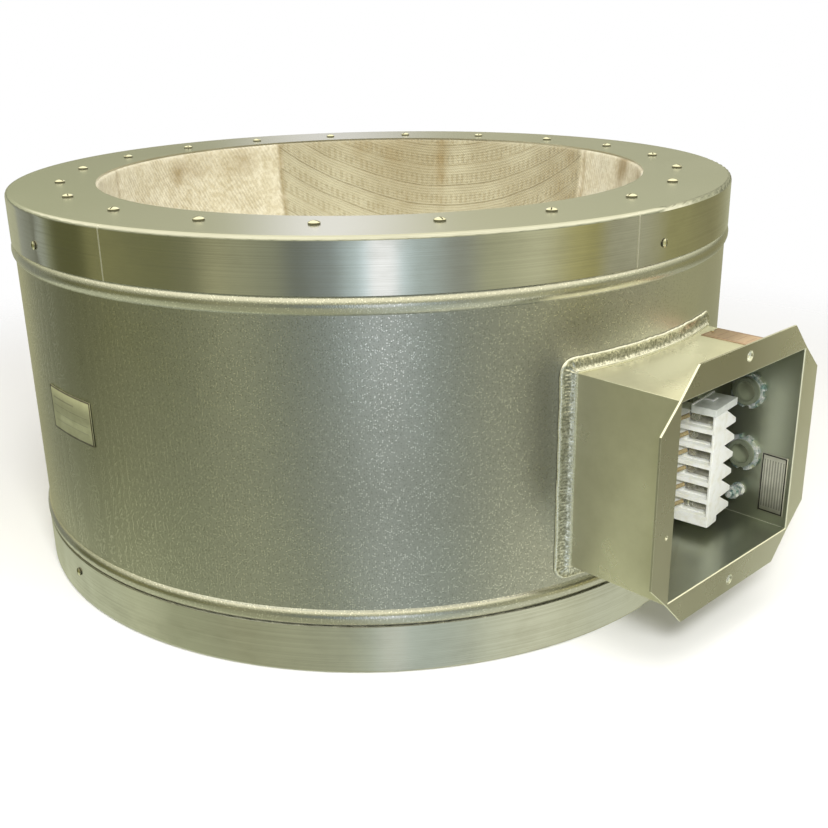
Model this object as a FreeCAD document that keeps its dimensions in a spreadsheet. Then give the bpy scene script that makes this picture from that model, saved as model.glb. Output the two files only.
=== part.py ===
import FreeCAD, Part
import math
import os
import Sketcher

# Heating mantle for a 50 litre flask: an aluminium drum with a glass-fibre well in its top,
# and a terminal box welded to its side. Millimetres and degrees.
# The origin is on the drum's axis at floor level, +Z is up and the terminal box faces -Y.

Vector = FreeCAD.Vector
os.makedirs("parts", exist_ok=True)
doc = FreeCAD.newDocument("heating_mantle")
sheet = doc.addObject("Spreadsheet::Sheet", "sizes")

DRIVING_SIZES = [
    # well and heater
    ("well_radius", 232.0),
    ("fabric_wall", 4.0),
    ("well_drop", 2.0),
    ("rim_overlap", 48.0),
    ("heater_gap", 0.4),
    ("heater_tape", 1.0),
    ("heater_cord_rise", 2.2),
    ("heater_cord_angle", 0.8),
    ("heater_turns", 6),
    ("zone_first_angle", 8.0),
    ("zone_last_angle", 86.0),
    ("zone_gap_angle", 3.0),
    # housing
    ("sheet_wall", 1.6),
    ("opening_gap", 2.0),
    ("rim_width", 70.8),
    ("skirt_depth", 38.1),
    ("skirt_clearance", 0.3),
    ("corner_radius", 3.0),
    ("bead_width", 12.7),
    ("bead_height", 2.6),
    ("cavity_floor", 6.0),
    ("base_pad", 60.4),
    ("insulation_gap", 5.0),
    ("curved_gap", 0.3),
    # clamp ring and cover screws
    ("clamp_ring_wall", 3.0),
    ("clamp_ring_width", 36.0),
    ("cover_screw_inset", 41.9),
    ("cover_screw_count", 20),
    ("cover_screw_start", 4.1),
    ("cover_screw_tip", 1.0),
    ("screw_shank_radius", 2.0),
    ("screw_hole_radius", 2.2),
    ("screw_head_radius", 4.2),
    ("screw_head_height", 2.4),
    ("head_rim_share", 0.45),
    ("screw_slot_width", 1.0),
    ("screw_slot_depth", 1.1),
    # skirt screws: two on each of two diameters
    ("skirt_screw_turn", 85.0),
    ("skirt_screw_drop", 25.0),
    ("skirt_head_radius", 3.2),
    ("skirt_head_height", 1.8),
    ("skirt_shank_length", 6.0),
    # terminal box
    ("box_width", 161.0),
    ("box_height", 147.0),
    ("box_depth", 74.8),
    ("box_level", 139.0),
    ("flange_width", 20.0),
    ("flange_bevel", 19.0),
    ("fold_radius", 1.2),
    ("cover_hole_inset", 11.2),
    ("cover_hole_radius", 3.8),
    ("side_hole_inset", 6.4),
    ("side_hole_drop", 19.8),
    ("side_hole_radius", 1.6),
    ("weld_leg", 11.0),
    ("weld_rise", 3.4),
    ("weld_toe", 1.2),
    ("weld_corner", 9.0),
    # conduit hubs and locknuts on the right wall
    ("conduit_setback", 40.6),
    ("conduit_upper_rise", 31.7),
    ("conduit_lower_drop", 19.1),
    ("knockout_radius", 11.1),
    ("nipple_radius", 10.6),
    ("nipple_reach", 7.0),
    ("hub_bore_radius", 7.9),
    ("hub_socket_radius", 10.5),
    ("hub_socket_depth", 15.0),
    ("hub_hex_flats", 30.0),
    ("hub_hex_height", 9.0),
    ("hub_body_radius", 14.0),
    ("hub_body_height", 13.0),
    ("locknut_radius", 14.3),
    ("locknut_height", 3.6),
    ("thread_gap", 0.1),
    ("locknut_lug_count", 8),
    ("locknut_notch_width", 5.0),
    ("locknut_notch_depth", 2.0),
    # ground stud on the right wall
    ("ground_drop", 51.5),
    ("ground_setback", 42.3),
    ("ground_radius", 2.5),
    ("ground_hole_radius", 2.7),
    ("ground_reach", 16.0),
    ("ground_head_radius", 4.8),
    ("ground_head_height", 2.6),
    ("washer_radius", 5.6),
    ("washer_height", 1.0),
    ("nut_flats", 8.7),
    ("nut_height", 3.2),
    ("second_nut_reach", 8.6),
    # terminal block, its rail and spacers
    ("block_wall_room", 42.4),
    ("block_standoff", 7.6),
    ("block_drop", 16.6),
    ("section_pitch", 13.96),
    ("section_depth", 33.0),
    ("section_width", 36.5),
    ("core_inset", 5.1),
    ("tooth_reach", 16.5),
    ("tooth_setback", 16.6),
    ("tooth_height", 13.6),
    ("tooth_tip_height", 3.6),
    ("barrier_wall", 3.6),
    ("cell_front_wall", 2.0),
    ("cell_setback", 9.1),
    ("cell_depth", 6.0),
    ("cell_lift", 0.9),
    ("end_plate_wall", 5.8),
    ("end_plate_depth", 19.8),
    ("end_rib_height", 1.2),
    ("end_rib_width", 1.5),
    ("end_rib_stem", 2.0),
    ("end_rib_foot", 6.0),
    ("end_stop_wall", 5.0),
    ("end_stop_corner", 4.0),
    ("clamp_plate_wall", 1.2),
    ("clamp_margin", 0.6),
    ("clamp_stem_width", 2.0),
    ("clamp_screw_radius", 2.9),
    ("clamp_screw_height", 2.0),
    ("clamp_screw_setback", 5.0),
    ("rail_width", 26.0),
    ("rail_height", 4.0),
    ("rail_wall", 1.2),
    ("rail_lip", 4.5),
    ("rail_overhang", 8.0),
    ("spacer_radius", 6.0),
    ("spacer_inset", 14.0),
    ("rail_head_radius", 3.8),
    ("rail_head_height", 2.2),
    # leads and their bushing
    ("lead_radius", 1.6),
    ("lead_step_across", 3.6),
    ("lead_step_down", 2.6),
    ("lead_entry_reach", 11.5),
    ("lead_turn_reach", 1.5),
    ("lead_turn_side", 3.0),
    ("lead_turn_drop", 5.5),
    ("lead_cell_gap", 0.4),
    ("lead_channel_margin", 4.0),
    ("lead_channel_headroom", 16.0),
    ("lead_riser_inset", 14.0),
    ("bushing_offset", 18.0),
    ("bushing_floor_gap", 2.4),
    ("bushing_radius", 16.5),
    ("bushing_bore_radius", 13.5),
    ("bushing_flange", 4.0),
    ("bushing_flange_wall", 2.2),
    ("bushing_hole_gap", 0.3),
    # plates
    ("nameplate_width", 64.0),
    ("nameplate_height", 35.0),
    ("nameplate_level", 164.5),
    ("nameplate_angle", -91.2),
    ("plate_wall", 0.6),
    ("inner_label_width", 21.3),
    ("inner_label_height", 48.5),
    ("inner_label_setback", 3.7),
    ("inner_label_drop", 39.3),
    ("top_label_width", 24.0),
    ("top_label_weld_gap", 3.3),
    ("top_label_edge", 2.0),
    ("top_label_setback", 8.0),
    ("rivet_radius", 1.6),
    ("rivet_height", 1.0),
    # spring nuts
    ("spring_nut_width", 13.0),
    ("spring_nut_length", 16.0),
    ("spring_nut_wall", 0.8),
    ("spring_nut_hole", 3.4),
    ("spring_tongue_width", 2.4),
    ("spring_tongue_offset", 1.1),
    ("spring_tongue_gap", 0.4),
]

ZONES = ("lower", "middle", "upper")
LEADS_PER_ZONE = 2
SECTION_COUNT = LEADS_PER_ZONE * len(ZONES)
HALF_LEADS = (SECTION_COUNT - 1) / 2  # steps from the middle of the leads to the first or last one
WELD_STEPS = (1.0, 0.7, 0.4)  # shares of the weld's leg, from its thin toe to the box's wall
SLOT_TURN = 137.5  # each screw of a set stopped at another angle
ARC_SHARE = 0.35  # share of the shorter run that a lead's bend takes
CUT_MARGIN = 1.0
TOLERANCE = 0.01

for row, (name, value) in enumerate(DRIVING_SIZES, start=1):
    sheet.set("A%d" % row, name)
    sheet.set("B%d" % row, str(value))
    sheet.setAlias("B%d" % row, name)
doc.recompute()


def size(name):
    return float(sheet.get(name))


def number(expression):
    return float(sheet.evalExpression(expression))


# Lengths that follow from the driving sizes, as expressions for the features and sketches.
OPENING = "(sizes.well_radius + sizes.opening_gap)"
OUTER = "(%s + sizes.rim_width)" % OPENING
SKIRT_INSIDE = "(%s - sizes.sheet_wall)" % OUTER
SHELL_OUTSIDE = "(%s - sizes.skirt_clearance)" % SKIRT_INSIDE
SHELL_INSIDE = "(%s - sizes.sheet_wall)" % SHELL_OUTSIDE
ON_SHELL = "(%s + sizes.curved_gap)" % SHELL_OUTSIDE
WELL_OUTSIDE = "(sizes.well_radius + sizes.fabric_wall)"
HEATER_INSIDE = "(%s + sizes.heater_gap)" % WELL_OUTSIDE
HEATER_TAPE_FACE = "(%s + sizes.heater_tape)" % HEATER_INSIDE
HEATER_CREST = "(%s + sizes.heater_cord_rise)" % HEATER_TAPE_FACE
CAVITY = "(%s + sizes.heater_gap)" % HEATER_CREST
PAD_TOP = "(sizes.sheet_wall + sizes.base_pad)"
WELL_CENTRE = "(%s + sizes.cavity_floor + %s)" % (PAD_TOP, CAVITY)
COVER_UNDERSIDE = "(%s + sizes.well_drop + sizes.fabric_wall)" % WELL_CENTRE
TOP = "(%s + sizes.sheet_wall)" % COVER_UNDERSIDE
RING_TOP = "(%s - sizes.fabric_wall)" % COVER_UNDERSIDE
RING_UNDERSIDE = "(%s - sizes.clamp_ring_wall)" % RING_TOP
SCREW_CIRCLE = "(%s - sizes.cover_screw_inset)" % OUTER
INSULATION_OUTSIDE = "(%s - sizes.insulation_gap)" % SHELL_INSIDE
ZONE_SPAN = ("((sizes.zone_last_angle - sizes.zone_first_angle - %d * sizes.zone_gap_angle) / %d)"
             % (len(ZONES) - 1, len(ZONES)))
SHELL_FOOT = "(sizes.sheet_wall + sizes.corner_radius)"
SHELL_HEAD = "(%s - sizes.sheet_wall - sizes.corner_radius)" % TOP
BEAD_RADIUS = "((sizes.bead_width ^ 2 / 4 + sizes.bead_height ^ 2) / (2 * sizes.bead_height))"
BEAD_LEVELS = ("(sizes.skirt_depth + sizes.curved_gap + sizes.bead_width / 2)",
               "(%s - sizes.skirt_depth - sizes.curved_gap - sizes.bead_width / 2)" % TOP)
BOX_FRONT = "(%s + sizes.box_depth)" % SHELL_OUTSIDE
WALL_INSIDE = "(sizes.box_width / 2 - sizes.sheet_wall)"
BASE_SCREW_LEVEL = "sizes.skirt_screw_drop"
TOP_SCREW_LEVEL = "(%s - sizes.skirt_screw_drop)" % TOP
CONDUIT_LEVELS = ("(sizes.box_level + sizes.conduit_upper_rise)",
                  "(sizes.box_level - sizes.conduit_lower_drop)")
GROUND_LEVEL = "(sizes.box_level - sizes.ground_drop)"
BOX_FLOOR = "(sizes.box_level - sizes.box_height / 2 + sizes.sheet_wall)"
BUSHING_LEVEL = ("(%s + sizes.bushing_floor_gap + sizes.bushing_flange + sizes.bushing_radius)"
                 % BOX_FLOOR)
BLOCK_LEVEL = "(sizes.box_level - sizes.block_drop)"
BLOCK_BACK = "(%s + sizes.block_standoff)" % SHELL_OUTSIDE
BLOCK_ANGLE = "asin((%s - sizes.block_wall_room) / %s)" % (WALL_INSIDE, BLOCK_BACK)
STACK_HALF = "(sizes.section_pitch * %d / 2)" % SECTION_COUNT
STACK_FOOT = "(%s - %s)" % (BLOCK_LEVEL, STACK_HALF)
STACK_TOP = "(%s + %s)" % (BLOCK_LEVEL, STACK_HALF)
RAIL_FOOT = "(%s - sizes.rail_overhang)" % STACK_FOOT
RAIL_LENGTH = "(2 * %s + 2 * sizes.rail_overhang)" % STACK_HALF
SPACER_LEVELS = ("(%s + sizes.spacer_inset)" % RAIL_FOOT,
                 "(%s + %s - sizes.spacer_inset)" % (RAIL_FOOT, RAIL_LENGTH))

# Across one terminal section, from its left side (towards the leads) to its right side.
LEFT = "(-sizes.section_width / 2)"
RIGHT = "(sizes.section_width / 2)"
CORE_LEFT = "(%s + sizes.core_inset)" % LEFT
CORE_RIGHT = "(%s - sizes.tooth_reach)" % RIGHT
CELL_BACK = "(%s + sizes.cell_depth)" % CORE_LEFT
CELL_NEAR = "(-sizes.cell_setback)"
CELL_FAR = "(-sizes.section_depth + sizes.cell_front_wall)"
CELL_FOOT = "(sizes.barrier_wall + sizes.cell_lift)"
CELL_TOP = "(sizes.section_pitch - sizes.cell_lift)"
CELL_MIDDLE = "((%s + %s) / 2)" % (CELL_FOOT, CELL_TOP)
CLAMP_FACE = "(%s - sizes.cell_depth / 2)" % CELL_BACK


def make_body(label):
    body = doc.addObject("PartDesign::Body", label)
    body.Label = label
    return body


def origin_feature(body, role):
    for feature in body.Origin.OriginFeatures:
        if feature.Role == role:
            return feature
    raise ValueError(role)


def make_sketch(body, role="XZ_Plane", offset=None, turn=None):
    # offset lifts the sketch along its plane's normal, turn spins the plane about its own vertical.
    sketch = body.newObject("Sketcher::SketchObject", body.Label + "_sketch")
    sketch.AttachmentSupport = [(origin_feature(body, role), "")]
    sketch.MapMode = "FlatFace"
    if turn is not None:
        sketch.AttachmentOffset = FreeCAD.Placement(Vector(), FreeCAD.Rotation(Vector(0, 1, 0), 1))
        sketch.setExpression("AttachmentOffset.Rotation.Angle", turn)
    if offset is not None:
        sketch.setExpression("AttachmentOffset.Base.z", offset)
    return sketch


def pin_point(sketch, geometry, end, x, y):
    across = sketch.addConstraint(Sketcher.Constraint("DistanceX", -1, 1, geometry, end, number(x)))
    sketch.setExpression("Constraints[%d]" % across, x)
    up = sketch.addConstraint(Sketcher.Constraint("DistanceY", -1, 1, geometry, end, number(y)))
    sketch.setExpression("Constraints[%d]" % up, y)


def arc_between(start, finish, radius):
    # A positive radius turns to the left on the way from start to finish, a negative one to the right.
    chord = finish - start
    height = math.sqrt(max(radius * radius - chord.Length ** 2 / 4, 0.0))
    side = Vector(-chord.y, chord.x, 0).normalize() * math.copysign(height, radius)
    centre = (start + finish) / 2 + side
    angles = [math.atan2(point.y - centre.y, point.x - centre.x) for point in (start, finish)]
    if radius < 0:
        angles.reverse()
    return Part.ArcOfCircle(Part.Circle(centre, Vector(0, 0, 1), abs(radius)), *angles)


def draw_outline(sketch, corners):
    # Each corner is (x, y) or (x, y, radius), where radius rounds the edge that leaves that corner.
    points = [Vector(number(corner[0]), number(corner[1]), 0) for corner in corners]
    edges = []
    for index, corner in enumerate(corners):
        start = points[index]
        finish = points[(index + 1) % len(points)]
        if len(corner) == 3:
            radius = number(corner[2])
            edge = sketch.addGeometry(arc_between(start, finish, radius))
            ends = (1, 2) if radius > 0 else (2, 1)
            bound = sketch.addConstraint(Sketcher.Constraint("Radius", edge, abs(radius)))
            sketch.setExpression("Constraints[%d]" % bound, "abs(%s)" % corner[2])
        else:
            edge = sketch.addGeometry(Part.LineSegment(start, finish))
            ends = (1, 2)
        edges.append((edge, ends))
    for index, (edge, ends) in enumerate(edges):
        following, following_ends = edges[(index + 1) % len(edges)]
        sketch.addConstraint(Sketcher.Constraint("Coincident", edge, ends[1], following, following_ends[0]))
        pin_point(sketch, edge, ends[0], corners[index][0], corners[index][1])


def draw_rectangle(sketch, left, right, low, high):
    draw_outline(sketch, [(left, low), (right, low), (right, high), (left, high)])


def draw_circle(sketch, x, y, radius):
    centre = Vector(number(x), number(y), 0)
    edge = sketch.addGeometry(Part.Circle(centre, Vector(0, 0, 1), number(radius)))
    bound = sketch.addConstraint(Sketcher.Constraint("Radius", edge, number(radius)))
    sketch.setExpression("Constraints[%d]" % bound, radius)
    pin_point(sketch, edge, 3, x, y)


def revolve(body, sketch):
    feature = body.newObject("PartDesign::Revolution", body.Label + "_revolution")
    feature.Profile = sketch
    feature.ReferenceAxis = (sketch, ["V_Axis"])
    feature.Angle = 360
    return feature


def pad(body, sketch, length, reverse=False, symmetric=False):
    feature = body.newObject("PartDesign::Pad", body.Label + "_pad")
    feature.Profile = sketch
    feature.Reversed = reverse
    if symmetric:
        feature.SideType = "Symmetric"
    feature.setExpression("Length", length)
    return feature


def pocket(body, sketch, length=None, reverse=False, symmetric=False):
    # With no length the pocket goes through the whole body.
    feature = body.newObject("PartDesign::Pocket", body.Label + "_pocket")
    feature.Profile = sketch
    feature.Reversed = reverse
    if symmetric:
        feature.SideType = "Symmetric"
    if length is None:
        feature.Type = "ThroughAll"
    else:
        feature.setExpression("Length", length)
    return feature


def polar_pattern(body, feature, count):
    pattern = body.newObject("PartDesign::PolarPattern", body.Label + "_pattern")
    pattern.Originals = [feature]
    pattern.Axis = (origin_feature(body, "Z_Axis"), [""])
    pattern.Angle = 360
    pattern.setExpression("Occurrences", count)
    body.Tip = pattern
    return pattern


def add_shape(label, shape, placement=None):
    feature = doc.addObject("Part::Feature", label)
    feature.Label = label
    feature.Shape = shape
    if placement is not None:
        feature.Placement = placement
    return feature


def add_copies(label, prototype, placements):
    doc.recompute()
    copies = []
    for placement in placements:
        solid = prototype.Shape.copy()
        solid.Placement = placement.multiply(solid.Placement)
        copies.append(solid)
    return add_shape(label, Part.Compound(copies))


def radial_placement(angle, radius, level):
    # Local +Z points away from the drum's axis; angle 0 is -Y and positive angles turn towards +X.
    outward = FreeCAD.Rotation(Vector(0, 0, 1), angle).multiply(FreeCAD.Rotation(Vector(1, 0, 0), 90))
    turned = math.radians(angle)
    return FreeCAD.Placement(Vector(radius * math.sin(turned), -radius * math.cos(turned), level), outward)


# Housing: a rolled shell with two beads, a top cover and a base pan that sleeve over its ends.

def cut_skirt_screw_holes(body, level):
    for turn in (None, "sizes.skirt_screw_turn"):
        sketch = make_sketch(body, turn=turn)
        draw_circle(sketch, "0", level, "sizes.screw_hole_radius")
        pocket(body, sketch, symmetric=True, length="4 * %s" % OUTER)


def make_housing_shell():
    body = make_body("housing_shell")
    inner_radius = "(%s - sizes.sheet_wall)" % BEAD_RADIUS
    half_inner = "sqrt(%s ^ 2 - (%s - sizes.bead_height) ^ 2)" % (inner_radius, BEAD_RADIUS)
    outside = [(SHELL_OUTSIDE, SHELL_FOOT)]
    inside = []
    for level in BEAD_LEVELS:
        outside.append((SHELL_OUTSIDE, "%s - sizes.bead_width / 2" % level, BEAD_RADIUS))
        outside.append((SHELL_OUTSIDE, "%s + sizes.bead_width / 2" % level))
    for level in reversed(BEAD_LEVELS):
        inside.append((SHELL_INSIDE, "%s + %s" % (level, half_inner), "-%s" % inner_radius))
        inside.append((SHELL_INSIDE, "%s - %s" % (level, half_inner)))
    outline = outside + [(SHELL_OUTSIDE, SHELL_HEAD), (SHELL_INSIDE, SHELL_HEAD)]
    outline += inside + [(SHELL_INSIDE, SHELL_FOOT)]
    profile = make_sketch(body)
    draw_outline(profile, outline)
    revolve(body, profile)
    cut_skirt_screw_holes(body, BASE_SCREW_LEVEL)
    cut_skirt_screw_holes(body, TOP_SCREW_LEVEL)
    bushing_hole = make_sketch(body)
    draw_circle(bushing_hole, "-sizes.bushing_offset", BUSHING_LEVEL,
                "sizes.bushing_radius + sizes.bushing_hole_gap")
    pocket(body, bushing_hole, reverse=True)
    for level in SPACER_LEVELS:
        rail_screw_hole = make_sketch(body, turn=BLOCK_ANGLE)
        draw_circle(rail_screw_hole, "0", level, "sizes.screw_hole_radius")
        pocket(body, rail_screw_hole, reverse=True)


def cap_outline(inner, edge, floor_out, floor_in):
    # One half of a cap's section: a flat ring or disc, a rounded corner and a skirt.
    inner_corner = "(sizes.corner_radius - sizes.sheet_wall)"
    turn = -1 if number(floor_out) > number(edge) else 1
    sign = "-" if turn < 0 else ""
    back = "" if turn < 0 else "-"
    step = "+" if turn > 0 else "-"
    return [
        (inner, floor_out),
        ("%s - sizes.corner_radius" % OUTER, floor_out, "%ssizes.corner_radius" % sign),
        (OUTER, "%s %s sizes.corner_radius" % (floor_out, step)),
        (OUTER, edge),
        (SKIRT_INSIDE, edge),
        (SKIRT_INSIDE, "%s %s %s" % (floor_in, step, inner_corner), "%s%s" % (back, inner_corner)),
        ("%s - %s" % (SKIRT_INSIDE, inner_corner), floor_in),
        (inner, floor_in),
    ]


def make_top_cover():
    body = make_body("top_cover")
    profile = make_sketch(body)
    skirt_edge = "%s - sizes.skirt_depth" % TOP
    draw_outline(profile, cap_outline(OPENING, skirt_edge, TOP, COVER_UNDERSIDE))
    revolve(body, profile)
    cut_skirt_screw_holes(body, TOP_SCREW_LEVEL)
    cut_cover_screw_holes(body)


def cut_cover_screw_holes(body):
    hole = make_sketch(body, "XY_Plane")
    across = "%s * cos(sizes.cover_screw_start)" % SCREW_CIRCLE
    along = "%s * sin(sizes.cover_screw_start)" % SCREW_CIRCLE
    draw_circle(hole, across, along, "sizes.screw_hole_radius")
    polar_pattern(body, pocket(body, hole, reverse=True), "sizes.cover_screw_count")


def make_base_pan():
    body = make_body("base_pan")
    profile = make_sketch(body)
    draw_outline(profile, cap_outline("0", "sizes.skirt_depth", "0", "sizes.sheet_wall"))
    revolve(body, profile)
    cut_skirt_screw_holes(body, BASE_SCREW_LEVEL)


def make_screw(label, head_radius, head_height, shank_length):
    # A slotted pan-head screw that stands on its head's underside, with its shank down.
    body = make_body(label)
    rim = "(%s * sizes.head_rim_share)" % head_height
    dome = "(%s - %s)" % (head_height, rim)
    crown = "((%s ^ 2 + %s ^ 2) / (2 * %s))" % (head_radius, dome, dome)
    profile = make_sketch(body)
    draw_outline(profile, [
        ("0", "-%s" % shank_length),
        ("sizes.screw_shank_radius", "-%s" % shank_length),
        ("sizes.screw_shank_radius", "0"),
        (head_radius, "0"),
        (head_radius, rim, crown),
        ("0", head_height),
    ])
    revolve(body, profile)
    slot = make_sketch(body, offset="-%s" % head_radius)
    draw_rectangle(slot, "-sizes.screw_slot_width / 2", "sizes.screw_slot_width / 2",
                   "%s - sizes.screw_slot_depth" % head_height, "%s + %g" % (head_height, CUT_MARGIN))
    pocket(body, slot, length="4 * %s" % head_radius, symmetric=True)
    return body


def place_cover_screws():
    stack = "(sizes.sheet_wall + sizes.fabric_wall + sizes.clamp_ring_wall + sizes.cover_screw_tip)"
    prototype = make_screw("cover_screw", "sizes.screw_head_radius", "sizes.screw_head_height", stack)
    circle = number(SCREW_CIRCLE)
    count = int(size("cover_screw_count"))
    placements = []
    for index in range(count):
        angle = size("cover_screw_start") + index * 360.0 / count
        turned = math.radians(angle)
        spot = Vector(circle * math.cos(turned), circle * math.sin(turned), number(TOP))
        placements.append(FreeCAD.Placement(spot, FreeCAD.Rotation(Vector(0, 0, 1), index * SLOT_TURN)))
    add_copies("top_cover_screws", prototype, placements)


def place_skirt_screws():
    prototype = make_screw("skirt_screw", "sizes.skirt_head_radius", "sizes.skirt_head_height",
                           "sizes.skirt_shank_length")
    angles = [0, 180, size("skirt_screw_turn"), size("skirt_screw_turn") - 180]
    for label, level in (("top_skirt_screws", TOP_SCREW_LEVEL), ("base_skirt_screws", BASE_SCREW_LEVEL)):
        seat = number(OUTER) + size("curved_gap")
        add_copies(label, prototype, [radial_placement(angle, seat, number(level)) for angle in angles])


# Well: fabric hemisphere, clamp ring, heater zones and insulation.

def make_fabric_well():
    body = make_body("fabric_well")
    profile = make_sketch(body)
    flange_edge = "%s + sizes.rim_overlap" % OPENING
    draw_outline(profile, [
        ("0", "%s - %s" % (WELL_CENTRE, WELL_OUTSIDE), WELL_OUTSIDE),
        (WELL_OUTSIDE, WELL_CENTRE),
        (WELL_OUTSIDE, RING_TOP),
        (flange_edge, RING_TOP),
        (flange_edge, COVER_UNDERSIDE),
        ("sizes.well_radius + sizes.opening_gap", COVER_UNDERSIDE, "sizes.opening_gap"),
        ("sizes.well_radius", "%s - sizes.opening_gap" % COVER_UNDERSIDE),
        ("sizes.well_radius", WELL_CENTRE, "-sizes.well_radius"),
        ("0", "%s - sizes.well_radius" % WELL_CENTRE),
    ])
    revolve(body, profile)
    cut_cover_screw_holes(body)


def make_clamp_ring():
    body = make_body("top_clamp_ring")
    profile = make_sketch(body)
    half = "sizes.clamp_ring_width / 2"
    draw_rectangle(profile, "%s - %s" % (SCREW_CIRCLE, half), "%s + %s" % (SCREW_CIRCLE, half),
                   RING_UNDERSIDE, RING_TOP)
    revolve(body, profile)
    cut_cover_screw_holes(body)


def polar_corner(radius, angle):
    # A point of the well's section, by its angle from straight down.
    return ("%s * sin(%s)" % (radius, angle), "%s - %s * cos(%s)" % (WELL_CENTRE, radius, angle))


def zone_start(zone):
    return "(sizes.zone_first_angle + %d * (%s + sizes.zone_gap_angle))" % (zone, ZONE_SPAN)


def turn_angle(zone, turn):
    return "(%s + %s * (%d + 0.5) / sizes.heater_turns)" % (zone_start(zone), ZONE_SPAN, turn)


def make_heater_zone(zone):
    # A carrier tape with the turns of the heater cord stitched to its outside.
    body = make_body("heater_zone_" + ZONES[zone])
    first = zone_start(zone)
    last = "(%s + %s)" % (first, ZONE_SPAN)
    foot = "(%s * sin(sizes.heater_cord_angle))" % HEATER_TAPE_FACE
    cord_radius = "((%s ^ 2 + sizes.heater_cord_rise ^ 2) / (2 * sizes.heater_cord_rise))" % foot
    corners = [polar_corner(HEATER_TAPE_FACE, first)]
    for turn in range(int(size("heater_turns"))):
        middle = turn_angle(zone, turn)
        near = polar_corner(HEATER_TAPE_FACE, "%s - sizes.heater_cord_angle" % middle)
        crest = polar_corner(HEATER_CREST, middle)
        far = polar_corner(HEATER_TAPE_FACE, "%s + sizes.heater_cord_angle" % middle)
        corners[-1] = corners[-1] + (HEATER_TAPE_FACE,)
        corners.append(near + (cord_radius,))
        corners.append(crest + (cord_radius,))
        corners.append(far)
    corners[-1] = corners[-1] + (HEATER_TAPE_FACE,)
    corners.append(polar_corner(HEATER_TAPE_FACE, last))
    corners.append(polar_corner(HEATER_INSIDE, last) + ("-%s" % HEATER_INSIDE,))
    corners.append(polar_corner(HEATER_INSIDE, first))
    profile = make_sketch(body)
    draw_outline(profile, corners)
    revolve(body, profile)


def make_insulation_side():
    body = make_body("insulation_side")
    profile = make_sketch(body)
    top = "%s - sizes.cover_screw_tip - sizes.curved_gap" % RING_UNDERSIDE
    draw_outline(profile, [
        ("0", PAD_TOP),
        (INSULATION_OUTSIDE, PAD_TOP),
        (INSULATION_OUTSIDE, top),
        (CAVITY, top),
        (CAVITY, WELL_CENTRE, "-%s" % CAVITY),
        ("0", "%s - %s" % (WELL_CENTRE, CAVITY)),
    ])
    revolve(body, profile)
    channel = make_sketch(body)
    room = "(sizes.lead_radius + sizes.lead_channel_margin)"
    reach = "(%g * sizes.lead_step_across + %s)" % (HALF_LEADS, room)
    draw_rectangle(channel, "-sizes.bushing_offset - %s" % reach, "-sizes.bushing_offset + %s" % reach,
                   "%s - %g * sizes.lead_step_down - %s" % (BUSHING_LEVEL, HALF_LEADS, room),
                   "%s - sizes.lead_channel_headroom" % RING_UNDERSIDE)
    pocket(body, channel, reverse=True)


def make_insulation_base():
    body = make_body("insulation_base")
    disc = make_sketch(body, "XY_Plane", offset="sizes.sheet_wall")
    draw_circle(disc, "0", "0", INSULATION_OUTSIDE)
    pad(body, disc, "sizes.base_pad")


# Terminal box: one folded sheet, open at the front, with its back edges on the drum.

def make_terminal_box():
    body = make_body("terminal_box")
    half_width = "sizes.box_width / 2"
    half_height = "sizes.box_height / 2"
    low = "sizes.box_level - %s" % half_height
    high = "sizes.box_level + %s" % half_height
    walls = make_sketch(body)
    draw_rectangle(walls, "-%s" % half_width, half_width, low, high)
    pad(body, walls, BOX_FRONT)
    rim = make_sketch(body, offset="%s - sizes.sheet_wall" % BOX_FRONT)
    far_x = "%s + sizes.flange_width" % half_width
    cut_x = "%s - sizes.flange_bevel" % half_width
    cut_z = "%s - sizes.flange_bevel" % half_height
    far_z = "%s + sizes.flange_width" % half_height
    corners = []
    for x_sign, z_sign, order in ((1, 1, 1), (-1, 1, -1), (-1, -1, 1), (1, -1, -1)):
        quarter = [
            ("%d * (%s)" % (x_sign, far_x), "sizes.box_level + %d * (%s)" % (z_sign, cut_z)),
            ("%d * (%s)" % (x_sign, half_width), "sizes.box_level + %d * (%s)" % (z_sign, half_height)),
            ("%d * (%s)" % (x_sign, cut_x), "sizes.box_level + %d * (%s)" % (z_sign, far_z)),
        ]
        corners += quarter[::order]
    draw_outline(rim, corners)
    pad(body, rim, "sizes.sheet_wall")
    hollow = make_sketch(body)
    draw_rectangle(hollow, "-%s" % WALL_INSIDE, WALL_INSIDE, "%s + sizes.sheet_wall" % low,
                   "%s - sizes.sheet_wall" % high)
    pocket(body, hollow, reverse=True)
    drum = make_sketch(body, "XY_Plane")
    draw_circle(drum, "0", "0", ON_SHELL)
    pocket(body, drum, length="4 * %s" % TOP, symmetric=True)
    fixings = make_sketch(body)
    for sign in (1, -1):
        level = "sizes.box_level + %d * (%s + sizes.cover_hole_inset)" % (sign, half_height)
        draw_circle(fixings, "0", level, "sizes.cover_hole_radius")
    draw_circle(fixings, "-%s - sizes.side_hole_inset" % half_width,
                "sizes.box_level - sizes.side_hole_drop", "sizes.side_hole_radius")
    pocket(body, fixings, reverse=True)
    right_wall = make_sketch(body, "YZ_Plane")
    for level in CONDUIT_LEVELS:
        draw_circle(right_wall, "-%s + sizes.conduit_setback" % BOX_FRONT, level, "sizes.knockout_radius")
    draw_circle(right_wall, "-%s + sizes.ground_setback" % BOX_FRONT, GROUND_LEVEL,
                "sizes.ground_hole_radius")
    pocket(body, right_wall, reverse=True)
    doc.recompute()
    sheet_metal = body.Tip
    folds = body.newObject("PartDesign::Fillet", "terminal_box_folds")
    folds.Base = (sheet_metal, front_opening_edges(sheet_metal.Shape))
    folds.setExpression("Radius", "sizes.fold_radius")


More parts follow.
